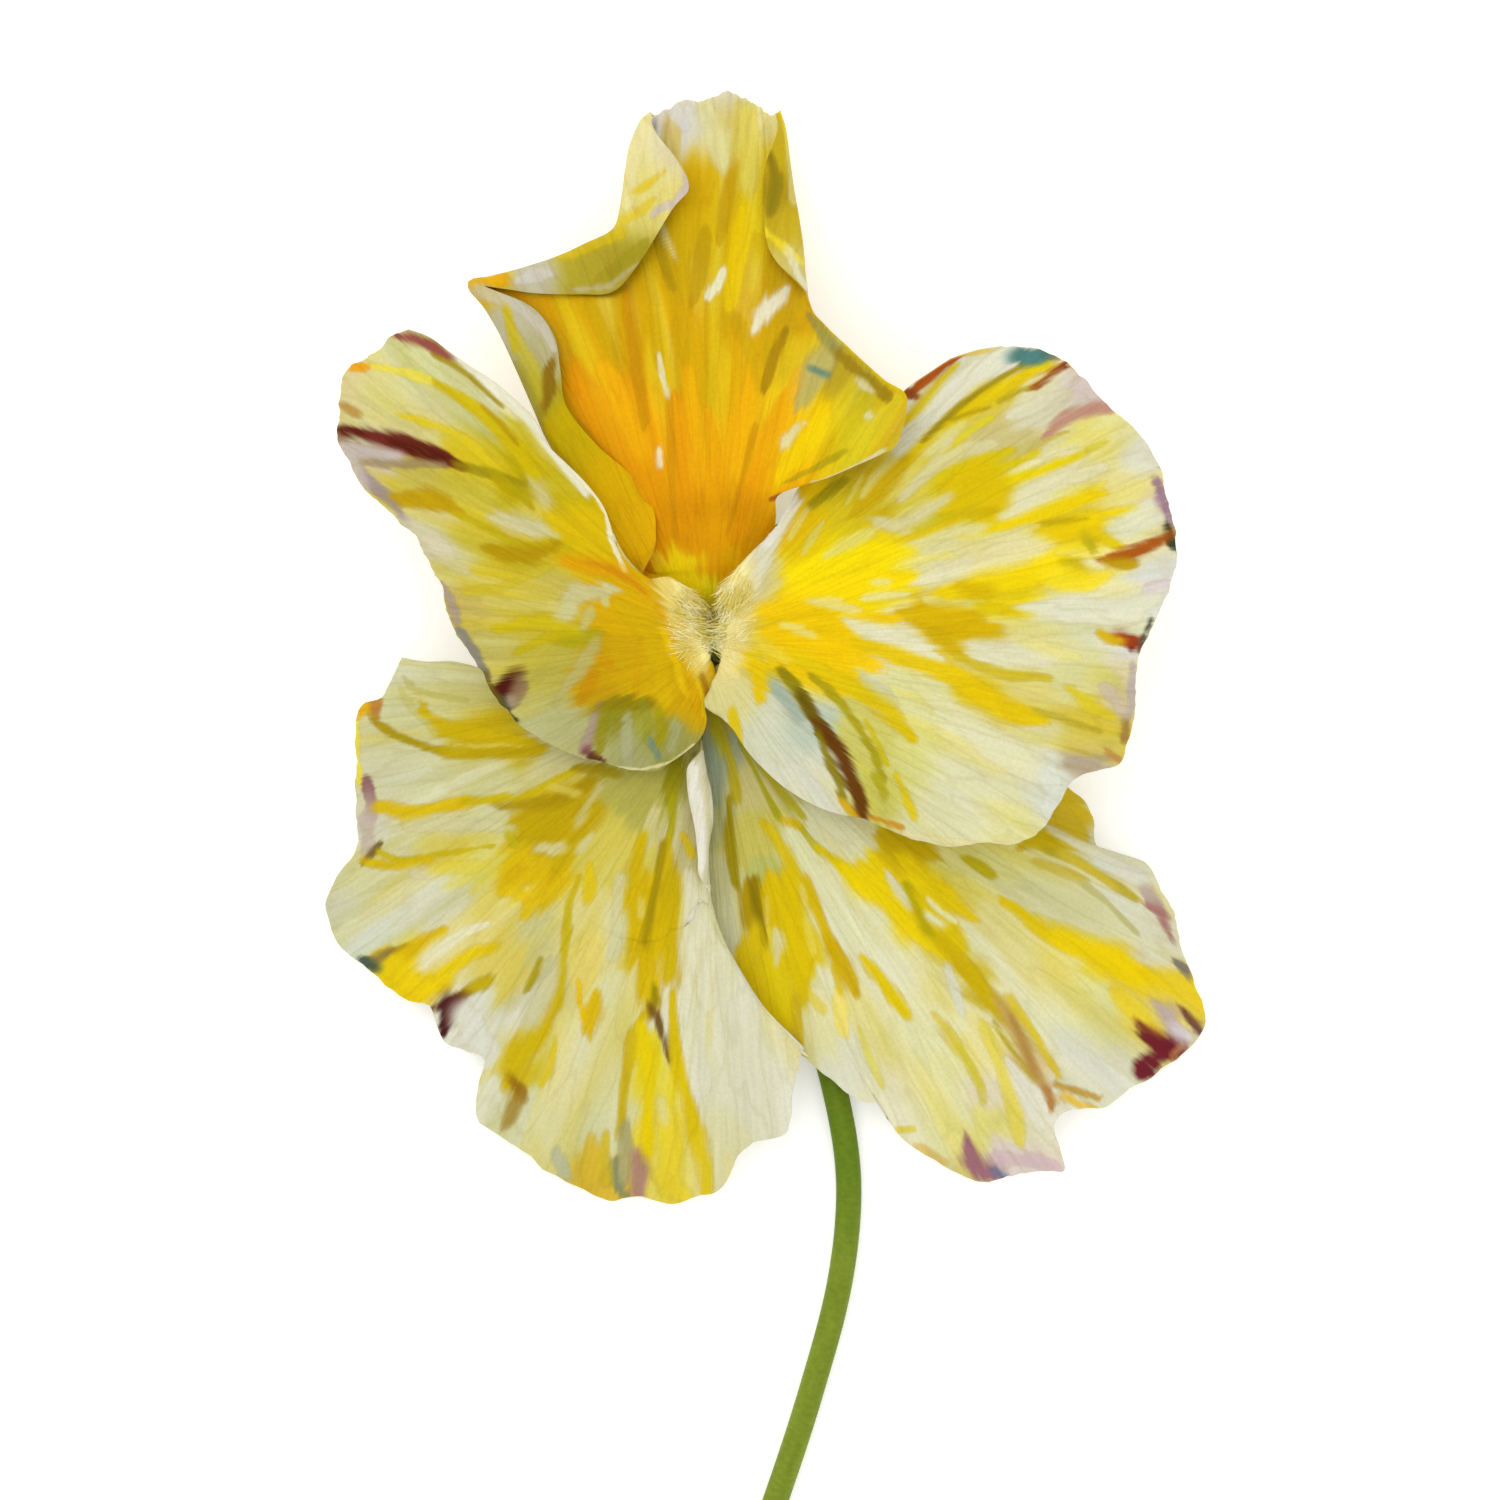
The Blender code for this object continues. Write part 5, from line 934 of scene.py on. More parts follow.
backLeftPetal = dict(
    clawAngle=240.0, veins=(716, 690, 560, 225), rollSpans=((0.2, 0.3, 0.5, 0.62),),
    seed=51, pleat=0.26, frill=0.2, notch=0.12, backTone="#d8d5bb",
    left=[
        (-0.5, 0.9, 8.2), (-0.6, -1.1, 8.8), (-0.8, -2.6, 8.9), (-0.6, -4.9, 8.8), (-0.2, -7.1, 8.6),
        (-0.1, -9.0, 8.4), (-0.4, -10.9, 8.0), (-0.4, -12.9, 7.8), (0.0, -15.4, 7.5), (0.9, -17.9, 7.2),
        (2.1, -20.1, 6.8), (3.8, -22.9, 6.2), (5.5, -24.9, 5.6), (7.2, -26.7, 5.2)],
    leftRoll=[
        (-1.0, 1.0, 9.3), (-1.3, -0.9, 9.9), (-1.7, -3.0, 10.0), (-1.9, -4.9, 9.9), (-1.8, -7.1, 9.8),
        (-1.3, -9.5, 9.6), (-1.1, -11.4, 9.1), (-0.9, -13.2, 8.7), (-0.5, -15.6, 8.3), (0.4, -18.2, 8.0),
        (1.6, -20.4, 7.6), (3.3, -23.2, 7.0), (5.0, -25.2, 6.4), (6.8, -26.9, 6.0)],
    end=[
        (-24.0, 1.4, 3.2), (-24.9, 0.0, 3.4), (-26.3, -0.6, 3.8), (-26.6, -1.9, 3.8), (-26.6, -4.5, 3.0),
        (-26.6, -7.5, 2.0), (-26.4, -10.1, 1.4), (-26.6, -11.6, 1.2), (-27.8, -13.3, 0.8), (-28.8, -15.2, 0.4),
        (-28.4, -17.1, 0.35), (-27.3, -18.9, 0.6), (-25.8, -20.4, 1.2), (-24.2, -21.6, 1.9), (-22.5, -22.7, 2.6),
        (-20.9, -23.3, 3.0), (-20.4, -24.6, 2.8), (-19.7, -26.0, 2.2), (-18.0, -26.6, 1.6), (-16.7, -27.3, 1.4),
        (-17.1, -29.3, 1.4), (-17.2, -31.7, 1.2), (-15.9, -32.7, 1.4), (-14.0, -34.0, 2.0), (-11.8, -35.8, 2.4),
        (-9.2, -37.2, 2.2), (-7.1, -38.0, 1.6), (-5.0, -37.7, 1.4), (-2.8, -38.3, 1.6), (-0.9, -37.8, 2.2),
        (1.0, -37.1, 2.8), (2.1, -35.6, 3.0), (3.0, -34.0, 2.8), (5.5, -33.4, 3.0), (6.3, -32.6, 3.6),
        (6.5, -30.4, 4.4), (7.0, -28.4, 5.0)][::-1],
    right=[
        (-2.4, 1.8, 8.2), (-3.9, 0.8, 8.8), (-6.9, 0.4, 8.6), (-10.7, 0.8, 7.7), (-14.4, 1.5, 6.6),
        (-17.0, 2.3, 5.6), (-19.3, 2.9, 4.8), (-21.5, 2.9, 4.2), (-23.3, 3.2, 3.6)],
    washes=[
        ("#d3d09a", 425, 680, 26), ("#d0cb84", 460, 688, 22), ("#cfd2b2", 392, 690, 18), ("#cdca90", 400, 728, 24),
        ("#c8aa04", 480, 738, 18), ("#c2a604", 515, 752, 14), ("#d0cda4", 388, 770, 30), ("#cbc88e", 480, 776, 26),
        ("#d0cd9a", 425, 795, 22), ("#cdc78c", 545, 762, 20), ("#c0a404", 560, 815, 22), ("#cdc890", 460, 827, 16),
        ("#cfc25e", 450, 848, 16), ("#cbc8b0", 366, 830, 12), ("#cfcc96", 375, 884, 24), ("#d4ca54", 470, 866, 16),
        ("#cecdac", 425, 902, 26), ("#cacab0", 345, 905, 20), ("#cbd0b4", 370, 930, 24), ("#d8b80a", 532, 882, 18),
        ("#d8cf80", 500, 908, 16), ("#dfdaac", 455, 935, 20), ("#e8ca0c", 410, 972, 20), ("#dccb60", 505, 955, 22),
        ("#dcdcc8", 475, 1030, 26), ("#ccc888", 540, 935, 18), ("#cac596", 540, 1000, 16), ("#cdb414", 520, 1060, 18),
        ("#ddd284", 580, 935, 22), ("#d7d294", 562, 1050, 20), ("#d8d49c", 592, 1085, 28), ("#d1d1a0", 570, 1130, 26),
        ("#d3d3ac", 500, 1108, 20), ("#d8d4a2", 618, 930, 13), ("#d2c454", 605, 845, 18), ("#d4b404", 648, 930, 18),
        ("#dad69e", 625, 988, 14), ("#dad7a2", 613, 1070, 16), ("#e4ce14", 650, 1080, 16), ("#e2cc30", 672, 1155, 22),
        ("#d8b838", 592, 1175, 16), ("#dfdbb6", 702, 960, 26), ("#dddbba", 735, 1040, 36), ("#dcdabe", 770, 1090, 34),
        ("#dad6a6", 725, 1150, 26), ("#b4ae50", 640, 795, 18), ("#c8c084", 690, 835, 14)],
    streaks=[("gold", 0.2, 32, 3.4, 0.1, 0.25, 0.9), ("white", 0.25, 40, 4.0, 0.1, 0.3, 1.0),
             ("olive", 0.12, 56, 4.5, 0.2, 0.25, 0.9)],
    strokes=[
        ("#e2ac0a", .9, 358,714,6, 368,708,5), ("#b87c34", .9, 376,702,5, 376,714,5),
        ("#a89004", .9, 372,718,3, 386,728,4, 404,737,3.5, 424,746,4, 442,751,4.5),
        ("#bca202", .95, 442,750,5, 470,752,6, 500,752,6.5, 532,750,8),
        ("#ccb004", .95, 424,706,3, 434,718,6, 452,728,8, 476,733,9, 505,738,8, 528,742,7),
        ("#dbc65c", .7, 455,743,1.5, 480,746,1.5, 502,744,1.5, 520,746,1.5),
        ("#b9b45c", .6, 404,680,2.5, 418,690,3, 440,697,2, 465,701,2.5),
        ("#c4bc68", .6, 402,690,2, 410,706,3, 424,720,3, 436,732,2.5), ("#8c5c60", .9, 368,784,4.5, 370,794,4.5),
        ("#a88c84", .8, 370,800,4.5, 371,812,4), ("#c0ae9e", .8, 368,822,6, 368,845,5.5),
        ("#6c5a28", .85, 378,846,2.5, 372,854,3.5, 366,861,2.5), ("lemon", .7, 357,722,2, 358,760,2, 360,778,3),
        ("#d6b606", .93, 380,808,5, 400,812,8, 414,813,7, 432,808,4, 448,804,6, 462,803,6),
        ("#c8b006", .9, 468,801,3, 490,800,5, 515,800,5, 536,792,5, 556,780,4, 575,772,4),
        ("#a88c02", .85, 500,808,5, 525,806,6, 550,802,6, 575,792,6, 592,780,5),
        ("#bfa202", .9, 520,820,8, 550,826,14, 575,820,14, 590,812,8),
        ("#9c8604", .8, 578,768,4, 596,768,6, 612,772,6), ("#d8c454", .8, 556,788,4, 574,792,4),
        ("#cdc894", .9, 420,826,7, 450,826,8, 485,826,8, 504,828,6), ("#bcae0c", .8, 510,836,5, 514,842,4),
        ("#c4ae04", .88, 380,852,2, 400,858,3, 425,858,3, 446,854,3, 468,849,3, 492,846,2.5),
        ("#d0b208", .9, 366,861,3, 388,864,5, 410,864,4.5, 430,862,3), ("#d4cda4", .8, 416,874,5, 428,874,5),
        ("#ddca38", .6, 440,868,7, 465,866,7, 485,862,5), ("#c6bf94", .7, 582,815,5, 592,800,4, 600,788,4),
        ("#948a04", .92, 676,762,7, 674,780,9, 671,796,6), ("#a8a008", .85, 672,800,4.5, 671,830,4, 668,845,3.5),
        ("#cfc888", .85, 654,820,7, 650,840,6), ("#d0b204", .95, 642,842,5, 637,870,8, 636,905,8, 633,930,6),
        ("#c9ad02", .95, 668,850,5, 668,880,8, 670,920,8, 670,975,8),
        ("#d4b402", .95, 650,945,14, 650,975,14, 652,1000,10),
        ("#a08a04", .85, 662,848,4, 658,880,3.5, 652,912,4, 645,940,4.5), ("#dac868", .8, 640,903,3, 641,912,3),
        ("#8c7a04", .85, 655,988,3, 656,1002,4), ("#70501c", .92, 652,1009,3.5, 658,1022,5, 663,1038,5.5, 668,1055,3),
        ("#c8ae10", .9, 642,1018,3, 632,1040,6, 626,1070,4, 622,1100,4, 620,1130,3.5),
        ("#e6cc04", .95, 642,1030,4, 648,1060,8, 650,1090,8, 648,1120,7, 648,1145,5),
        ("#d8bc04", .95, 672,1000,4, 674,1040,5, 680,1070,6, 688,1100,8, 696,1130,8),
        ("#dcc210", .9, 696,1135,8, 704,1165,8, 706,1190,7),
        ("#e4ce30", .9, 668,1120,8, 670,1150,10, 668,1180,9, 680,1195,8), ("#dcd488", .85, 660,1100,5, 664,1114,5),
        ("#a8a478", .8, 624,1130,5, 626,1150,6, 622,1175,6), ("#788468", .8, 614,1160,2.5, 616,1184,3, 626,1200,3.5),
        ("#a87c78", .85, 638,1158,5, 640,1172,7, 638,1188,7), ("#d6b630", .85, 590,1150,7, 588,1175,9),
        ("#cdb424", .8, 605,1140,4, 606,1175,5), ("#b4b89c", .8, 558,1156,7, 566,1172,7),
        ("#e4bc08", .92, 579,984,3, 581,1000,3.5, 584,1014,2.5),
        ("#d8b404", .92, 597,992,3, 595,1008,8, 591,1024,6, 590,1036,2.5), ("#dcc00c", .85, 590,870,5, 590,890,7),
        ("#c4ae08", .85, 578,880,3, 570,905,4, 567,935,4, 563,965,4, 560,1000,4.5),
        ("#c8aa0a", .85, 556,1000,5, 548,1020,6, 540,1035,7), ("#a8960a", .85, 542,958,3, 535,975,4, 528,990,3),
        ("#c8c494", .85, 550,970,7, 543,1000,9, 532,1025,7), ("#d0cc9a", .8, 620,880,5, 618,930,8, 614,950,5),
        ("#d8b404", .93, 440,934,4, 425,942,6, 406,955,6, 385,966,4),
        ("#e8ca08", .95, 384,970,6, 400,972,12, 416,985,12, 440,984,10),
        ("#e4c808", .93, 450,968,7, 470,955,8, 490,948,6), ("#bfa804", .9, 478,984,7, 462,992,5),
        ("#e3dfb8", .95, 426,968,5, 434,958,9, 450,944,7, 470,930,5, 490,922,3),
        ("#b09008", .8, 386,955,2.5, 404,947,2), ("#3c5048", .93, 366,962,4, 371,965,5.5),
        ("#8a7440", .8, 380,958,4.5, 388,953,3), ("#5a241c", .97, 436,1006,5, 448,1000,8, 456,996,6),
        ("#481818", .97, 448,1006,9, 446,1020,7, 443,1034,4.5), ("#dedecc", .9, 470,1025,14, 485,1045,12),
        ("#cbb006", .95, 545,1030,5, 530,1045,9, 518,1060,11, 512,1078,8), ("#8c6010", .85, 515,1082,5, 521,1092,6),
        ("#a0822c", .8, 516,1104,8, 512,1116,7), ("#d4bc10", .85, 556,1045,5, 550,1070,6, 542,1084,5),
        ("#d6b404", .92, 510,890,6, 525,876,9, 545,874,8, 560,866,5),
        ("#e0c010", .9, 512,892,7, 535,898,7, 528,912,5), ("#e2cc60", .8, 528,888,3.5),
        ("#c4a804", .85, 580,840,5, 568,852,6, 556,868,5), ("#d0ca98", .85, 545,848,6, 556,848,6),
        ("#d0ca98", .8, 582,846,5, 590,838,3), ("#dfc00c", .8, 684,838,4, 690,850,4),
        ("#e0dcba", .8, 690,880,5, 696,930,10, 705,990,10), ("#cdca90", .8, 716,880,6, 722,915,9, 730,940,6)],
    backWashes=[("#dfdcc2", 700, 830, 60), ("#d3cda6", 692, 760, 24), ("#e2dfca", 740, 1000, 60)],
    backStrokes=[("#c9c192", .6, 704,780,3, 708,830,3, 706,880,3), ("#ece9da", .8, 690,760,5, 697,800,5, 700,860,5)],
)

backRightPetal = dict(
    clawAngle=300.0, veins=(708, 690, 620, 315), seed=67, pleat=0.26, frill=0.2, notch=0.12, backTone="#dad7bc",
    left=[
        (2.3, 1.6, 7.6), (3.6, -0.4, 8.1), (7.4, -1.9, 8.0), (11.9, -3.4, 7.1), (16.4, -4.4, 6.2),
        (20.9, -5.1, 5.0), (26.5, -6.4, 3.2)],
    end=[
        (2.7, -22.8, 4.6), (4.9, -25.0, 4.2), (7.0, -26.8, 3.9), (9.2, -28.7, 3.6), (11.3, -30.2, 3.2),
        (12.4, -30.2, 3.1), (13.3, -31.5, 2.8), (14.3, -32.9, 2.4), (16.4, -34.3, 2.0), (18.6, -35.6, 1.6),
        (20.5, -36.2, 1.4), (22.5, -35.7, 1.6), (24.6, -35.3, 2.0), (26.4, -35.3, 2.2), (26.1, -33.8, 2.6),
        (25.6, -31.9, 3.0), (26.9, -30.8, 2.8), (29.5, -30.5, 2.2), (31.4, -29.1, 1.8), (33.6, -27.8, 1.2),
        (35.5, -26.4, 0.6), (37.0, -24.4, 0.35), (36.5, -22.1, 0.6), (35.7, -19.9, 1.2), (35.0, -18.0, 1.8),
        (34.7, -16.1, 2.4), (33.6, -14.3, 2.8), (32.7, -12.6, 2.8), (30.6, -11.8, 2.6), (28.8, -10.9, 2.2),
        (28.7, -9.4, 2.2), (27.8, -7.5, 2.6)][::-1],
    right=[
        (-0.3, 0.9, 7.2), (-0.7, -3.0, 7.4), (-1.6, -6.8, 7.1), (-2.0, -10.5, 6.5), (-1.7, -14.3, 6.0),
        (-0.3, -18.0, 5.4), (1.1, -20.6, 5.0)],
    washes=[
        # Painted shade: the grey-green wash at (714, 765) is shade beside the curled margin of the other back petal
        ("#c2b060", 716, 705, 12), ("#a9b08a", 714, 765, 14), ("#b9b87e", 716, 815, 14), ("#cbc78e", 714, 880, 14),
        ("#d0ce9a", 722, 920, 16), ("#cabf5a", 752, 835, 16), ("#cec27c", 750, 790, 14), ("#babd68", 768, 872, 10),
        ("#d8ba04", 782, 900, 16), ("#dcc004", 795, 950, 16), ("#dfc61c", 768, 990, 20), ("#dcdcaa", 802, 850, 14),
        ("#e0ddb0", 838, 845, 16), ("#dedbac", 832, 895, 18), ("#e0deb2", 862, 932, 24), ("#e1deb4", 902, 970, 26),
        ("#f0d404", 868, 882, 14), ("#ecd004", 908, 925, 14), ("#d4b404", 905, 848, 14), ("#e2c804", 925, 888, 15),
        ("#d8bc04", 942, 945, 15), ("#d6ce70", 955, 868, 20), ("#d8d382", 1000, 868, 20), ("#d1cf96", 1030, 892, 18),
        ("#d4d09a", 1070, 905, 24), ("#dbd8a8", 1100, 930, 18), ("#dadabc", 1140, 905, 18),
        ("#d4d5be", 1120, 872, 18), ("#dad7b8", 1150, 940, 18), ("#dddbae", 995, 930, 20), ("#e3e0b4", 1015, 972, 26),
        ("#e7de8a", 1055, 962, 16), ("#ecd004", 1105, 960, 16), ("#e8cc28", 1155, 988, 16),
        ("#e4d054", 1140, 1012, 14), ("#e3df9e", 1080, 1000, 20), ("#dadaa8", 1102, 1025, 18),
        ("#e1dfb2", 1040, 1020, 20), ("#d9dac2", 1075, 1060, 22), ("#d6d6c0", 1112, 1060, 14),
        ("#c6aa04", 978, 978, 12), ("#dfd88e", 930, 985, 14), ("#e2dfac", 902, 1035, 26), ("#e3e0a2", 940, 1090, 24),
        ("#dfdcb0", 830, 990, 12), ("#dfdcaa", 825, 1030, 18), ("#dadac0", 850, 1062, 22), ("#e3deb8", 900, 1100, 22),
        ("#dfd6b4", 985, 1090, 16), ("#e3d880", 987, 1050, 16), ("#dcc490", 1032, 1062, 14),
        ("#dfdbc0", 1035, 1120, 20), ("#e1d97c", 1005, 1120, 14), ("#dcd0c4", 1030, 1160, 16),
        ("#d4b828", 1066, 820, 14), ("#d8d8bc", 1090, 830, 10)],
    streaks=[("gold", 0.2, 32, 3.4, 0.1, 0.25, 0.9), ("white", 0.25, 40, 4.0, 0.1, 0.3, 1.0),
             ("olive", 0.1, 56, 4.5, 0.2, 0.25, 0.9)],
    strokes=[
        # Painted shade: #b08c10 is the dark gap below the lips and #a0ae90 the grey-green shade beside the curled
        # margin; painted light: #c8c010 is brighter than the claw's own olive, to lift the shade under the throat
        ("#b08c10", .9, 708,676,7, 713,695,7), ("#c8c010", .8, 716,706,6, 720,745,6),
        ("#a0ae90", .8, 714,755,7, 716,790,8), ("#b8a818", .85, 724,735,4, 733,765,4.5, 735,795,5),
        ("#a08e04", .93, 730,800,3.5, 731,835,5, 733,862,5.5, 735,880,4),
        ("#a8a010", .85, 742,745,3.5, 754,768,4, 766,792,4, 778,814,4),
        ("#b8ac14", .8, 762,766,3, 782,792,4, 800,815,4), ("#d8be10", .9, 764,824,4, 775,836,5, 786,856,7, 795,878,7),
        ("#d6b604", .9, 790,822,5, 799,826,4), ("#bcae20", .8, 804,832,3, 815,846,3.5),
        ("#dcc404", .9, 820,850,3, 834,862,4.5, 846,870,5),
        ("#f0d402", .97, 848,872,6, 862,882,11, 880,894,11, 898,910,8),
        ("#ecd004", .97, 898,910,8, 912,928,8, 930,944,7, 940,952,5),
        ("#dcdac0", .9, 890,878,4, 900,892,5.5, 908,904,4), ("#c8aa02", .95, 880,834,4, 900,844,8, 922,850,9),
        ("#e8cc04", .93, 905,862,7, 922,880,8, 940,888,7), ("#e2c604", .93, 940,888,7, 952,902,8, 970,918,5),
        ("#dac004", .9, 925,900,6, 945,930,10, 960,945,8),
        ("#b4a404", .85, 908,888,4, 916,906,5, 926,928,4.5, 933,936,3), ("#e0ddb4", .95, 929,901,2, 939,911,2.5),
        ("#dedeba", .95, 930,917,4, 942,925,4.5), ("#e0ddb4", .9, 948,917,2.5, 955,921,2),
        ("#ccae02", .93, 945,945,7, 958,958,8, 968,972,8), ("#c8ac04", .95, 966,972,9, 980,992,10, 996,1010,10),
        ("#dadac4", .85, 947,968,4, 955,988,5, 962,1008,4),
        ("#c0a058", .9, 1004,1014,9, 1016,1036,11, 1028,1060,9, 1038,1080,6),
        ("#b08038", .7, 1012,1022,4, 1024,1048,5, 1032,1072,5),
        ("#d8be20", .85, 1010,998,4, 1026,1022,4.5, 1046,1056,4, 1056,1074,3),
        ("#b8a020", .8, 992,1020,3, 1010,1048,3, 1032,1080,3),
        ("#b07c38", .92, 1046,1090,5, 1052,1104,4.5, 1053,1113,3),
        ("#bc9438", .85, 1056,1084,4, 1078,1090,3.5, 1100,1098,3),
        ("#e2bc3c", .9, 1064,1097,6, 1078,1103,5, 1092,1106,3),
        ("#bcae0c", .92, 970,860,3.5, 980,866,5.5, 990,874,4.5),
        ("#dcc006", .95, 1000,900,3.5, 1018,910,5, 1032,922,6, 1048,932,7, 1068,939,9),
        ("#ecce02", .97, 1066,940,9, 1092,950,11, 1112,962,14, 1136,976,12, 1160,990,9),
        ("#e4cc44", .9, 1160,996,9, 1182,1008,7, 1194,1016,4), ("#e8cf2c", .9, 1122,996,6, 1140,1014,9, 1154,1032,7),
        ("#d6c64c", .6, 1040,918,3, 1070,928,4, 1095,940,3), ("#c8ac04", .93, 1022,846,4, 1036,842,8, 1052,848,6),
        ("#b8a424", .85, 1050,852,4, 1076,860,4, 1098,874,4, 1120,888,5, 1134,897,3.5),
        ("#d4bc34", .85, 1066,856,4, 1088,868,4, 1112,884,3), ("#c8b438", .8, 1040,862,4, 1062,870,5, 1080,878,4.5),
        ("#b8b068", .7, 1088,886,4, 1108,902,3.5, 1134,930,2.5), ("#d4b828", .95, 1062,806,4, 1066,820,9, 1078,834,6),
        ("#dcd8b8", .9, 1046,828,3, 1072,842,4, 1104,860,5, 1138,882,5), ("#d6d7c6", .8, 1102,862,6, 1136,874,6),
        ("#b4a094", .8, 1148,892,4, 1158,904,5), ("#a8706c", .88, 1152,908,4, 1161,914,5, 1169,928,7, 1173,938,4.5),
        ("#7a7264", .9, 1174,961,3, 1182,968,5, 1186,974,3), ("#ccac40", .8, 1190,979,3),
        ("#6c1a24", .97, 1144,1030,4, 1156,1042,8, 1168,1050,9),
        ("#701c28", .97, 1166,1052,9, 1152,1062,10, 1144,1070,6), ("#c08850", .8, 1179,1049,3.5, 1172,1060,2.5),
        ("#b8a4a4", .9, 1160,1008,4, 1172,1018,8, 1178,1030,7), ("#dcd4d8", .85, 1182,1032,6, 1194,1040,4),
        ("#6c4038", .9, 1180,1007,2, 1190,1020,3.5, 1199,1031,4.5, 1203,1036,4),
        ("#9c6474", .93, 966,1140,5, 970,1152,8, 978,1165,10, 988,1172,9),
        ("#64789c", .85, 996,1171,4, 1005,1177,3.5), ("#d0b4b8", .8, 1006,1158,8, 1032,1162,8, 1054,1166,5),
        ("#d8b860", .8, 924,1150,5, 944,1162,4), ("#dcc838", .8, 900,1130,3.5, 911,1129,3),
        ("#d8cf5c", .8, 860,1030,3, 870,1058,4, 882,1085,3), ("#d8c440", .8, 934,1014,4, 946,1028,7, 956,1045,6),
        ("#cfc034", .85, 958,1045,4, 968,1062,4, 978,1082,4, 984,1102,3.5),
        ("#e0d050", .85, 986,1030,5, 998,1055,6, 1006,1085,7, 1014,1112,6, 1019,1140,4.5),
        ("#e0dec8", .85, 1012,1066,4, 1024,1086,8, 1038,1116,8), ("#dcca4c", .85, 814,998,5, 821,1006,4.5),
        ("#ecda64", .85, 838,990,4, 842,1008,7, 843,1026,7), ("#d8bc20", .85, 833,968,3.5, 839,988,4),
        ("#d4b402", .95, 808,886,5, 816,906,6, 824,926,6, 832,946,7),
        ("#cba804", .96, 834,948,8, 844,962,9, 852,978,8, 857,994,4),
        ("#e2c804", .95, 862,958,3, 872,970,7, 884,984,6, 896,1000,7, 905,1013,5),
        ("#b09204", .95, 748,895,7, 750,915,7, 754,930,5),
        ("#8a7402", .92, 756,884,5, 759,905,5.5, 762,925,4.5, 765,940,3),
        ("#dec00a", .95, 751,940,8, 746,960,8, 756,984,10, 770,1004,9, 785,1018,7),
        ("#dcbe04", .95, 773,885,7, 775,915,8), ("#dcbf02", .95, 790,880,7, 795,920,9, 801,955,10, 800,984,8),
        ("#dec406", .9, 778,965,12, 782,995,10), ("#cdb018", .9, 797,1000,4.5, 797,1030,4.5, 800,1052,3),
        ("#dcd6a4", .93, 776,936,4, 778,945,6, 777,958,3), ("#dcc65c", .8, 767,902,2.5, 768,924,2.5),
        ("#dcc860", .8, 802,889,3, 805,903,3), ("#e2cf50", .8, 807,925,3, 814,950,4)],
)

petalForms = dict(petal_spurred=spurredPetal, petal_side_left=sideLeftPetal, petal_side_right=sideRightPetal,
                  petal_back_left=backLeftPetal, petal_back_right=backRightPetal)
laidPetals = {name: buildPetal(name, form, "gold_petal" if name == "petal_spurred" else "cream_petal")
              for name, form in petalForms.items()}


# Sepals, stem, pistil and stamens
def plantFinish(name, fibreStretch, fibreScale, bumpDepth, roughness, spread=0.12, glow=0.1):
    finish, tree, shader = newFinish(name)
    paint = addNode(tree, "ShaderNodeAttribute", attribute_name="paint")
    veins = addNode(tree, "ShaderNodeUVMap", uv_map="veins")
    objectSpace = addNode(tree, "ShaderNodeTexCoord")
    fibres = noiseOver(tree, veins.outputs["UV"], fibreStretch, fibreScale, detail=3.0)
    cells = noiseOver(tree, objectSpace.outputs["Object"], (1.0, 1.0, 1.0), 2600.0, detail=2.0)
    shade = mathNode(tree, "MULTIPLY", mapRange(tree, fibres, 0.3, 0.7, 1 - spread, 1 + spread),
                     mapRange(tree, cells, 0.3, 0.7, 1 - 0.5 * spread, 1 + 0.5 * spread))
    link(tree, scaledTone(tree, paint.outputs["Color"], shade), shader.inputs["Base Color"])
    relief = addBump(tree, fibres, 0.5, bumpDepth)
    link(tree, addBump(tree, cells, 0.3, 0.02, relief), shader.inputs["Normal"])
    link(tree, mapRange(tree, cells, 0.3, 0.7, roughness - 0.06, roughness + 0.06), shader.inputs["Roughness"])
    addGlow(shader, glow, (0.7, 1.0, 0.3), 0.5, 0.15)
    return finish


sepalForm = dict(
    angles=(54.0, 126.0, 198.0, 270.0, 342.0), rows=46, columns=18, thickness=0.42, rimThickness=0.2,
    profile=[(3.4, 2.9, 0.8), (2.95, 3.8, 1.15), (2.75, 4.6, 1.1), (3.1, 5.2, 1.15), (4.1, 5.6, 1.4), (5.8, 5.7, 1.95),
             (8.2, 5.4, 2.05), (10.7, 4.8, 1.6), (12.9, 4.2, 0.85), (14.3, 3.8, 0.3)],
    leafTone="#6f8f2c", ribTone="#a9b866", marginTone="#c3c98c", earTone="#9fb05a", tipTone="#7d7a3a",
)
sepalSkin = plantFinish("sepalSkin", (60.0, 5.0, 1.0), 1.0, 0.06, 0.55)


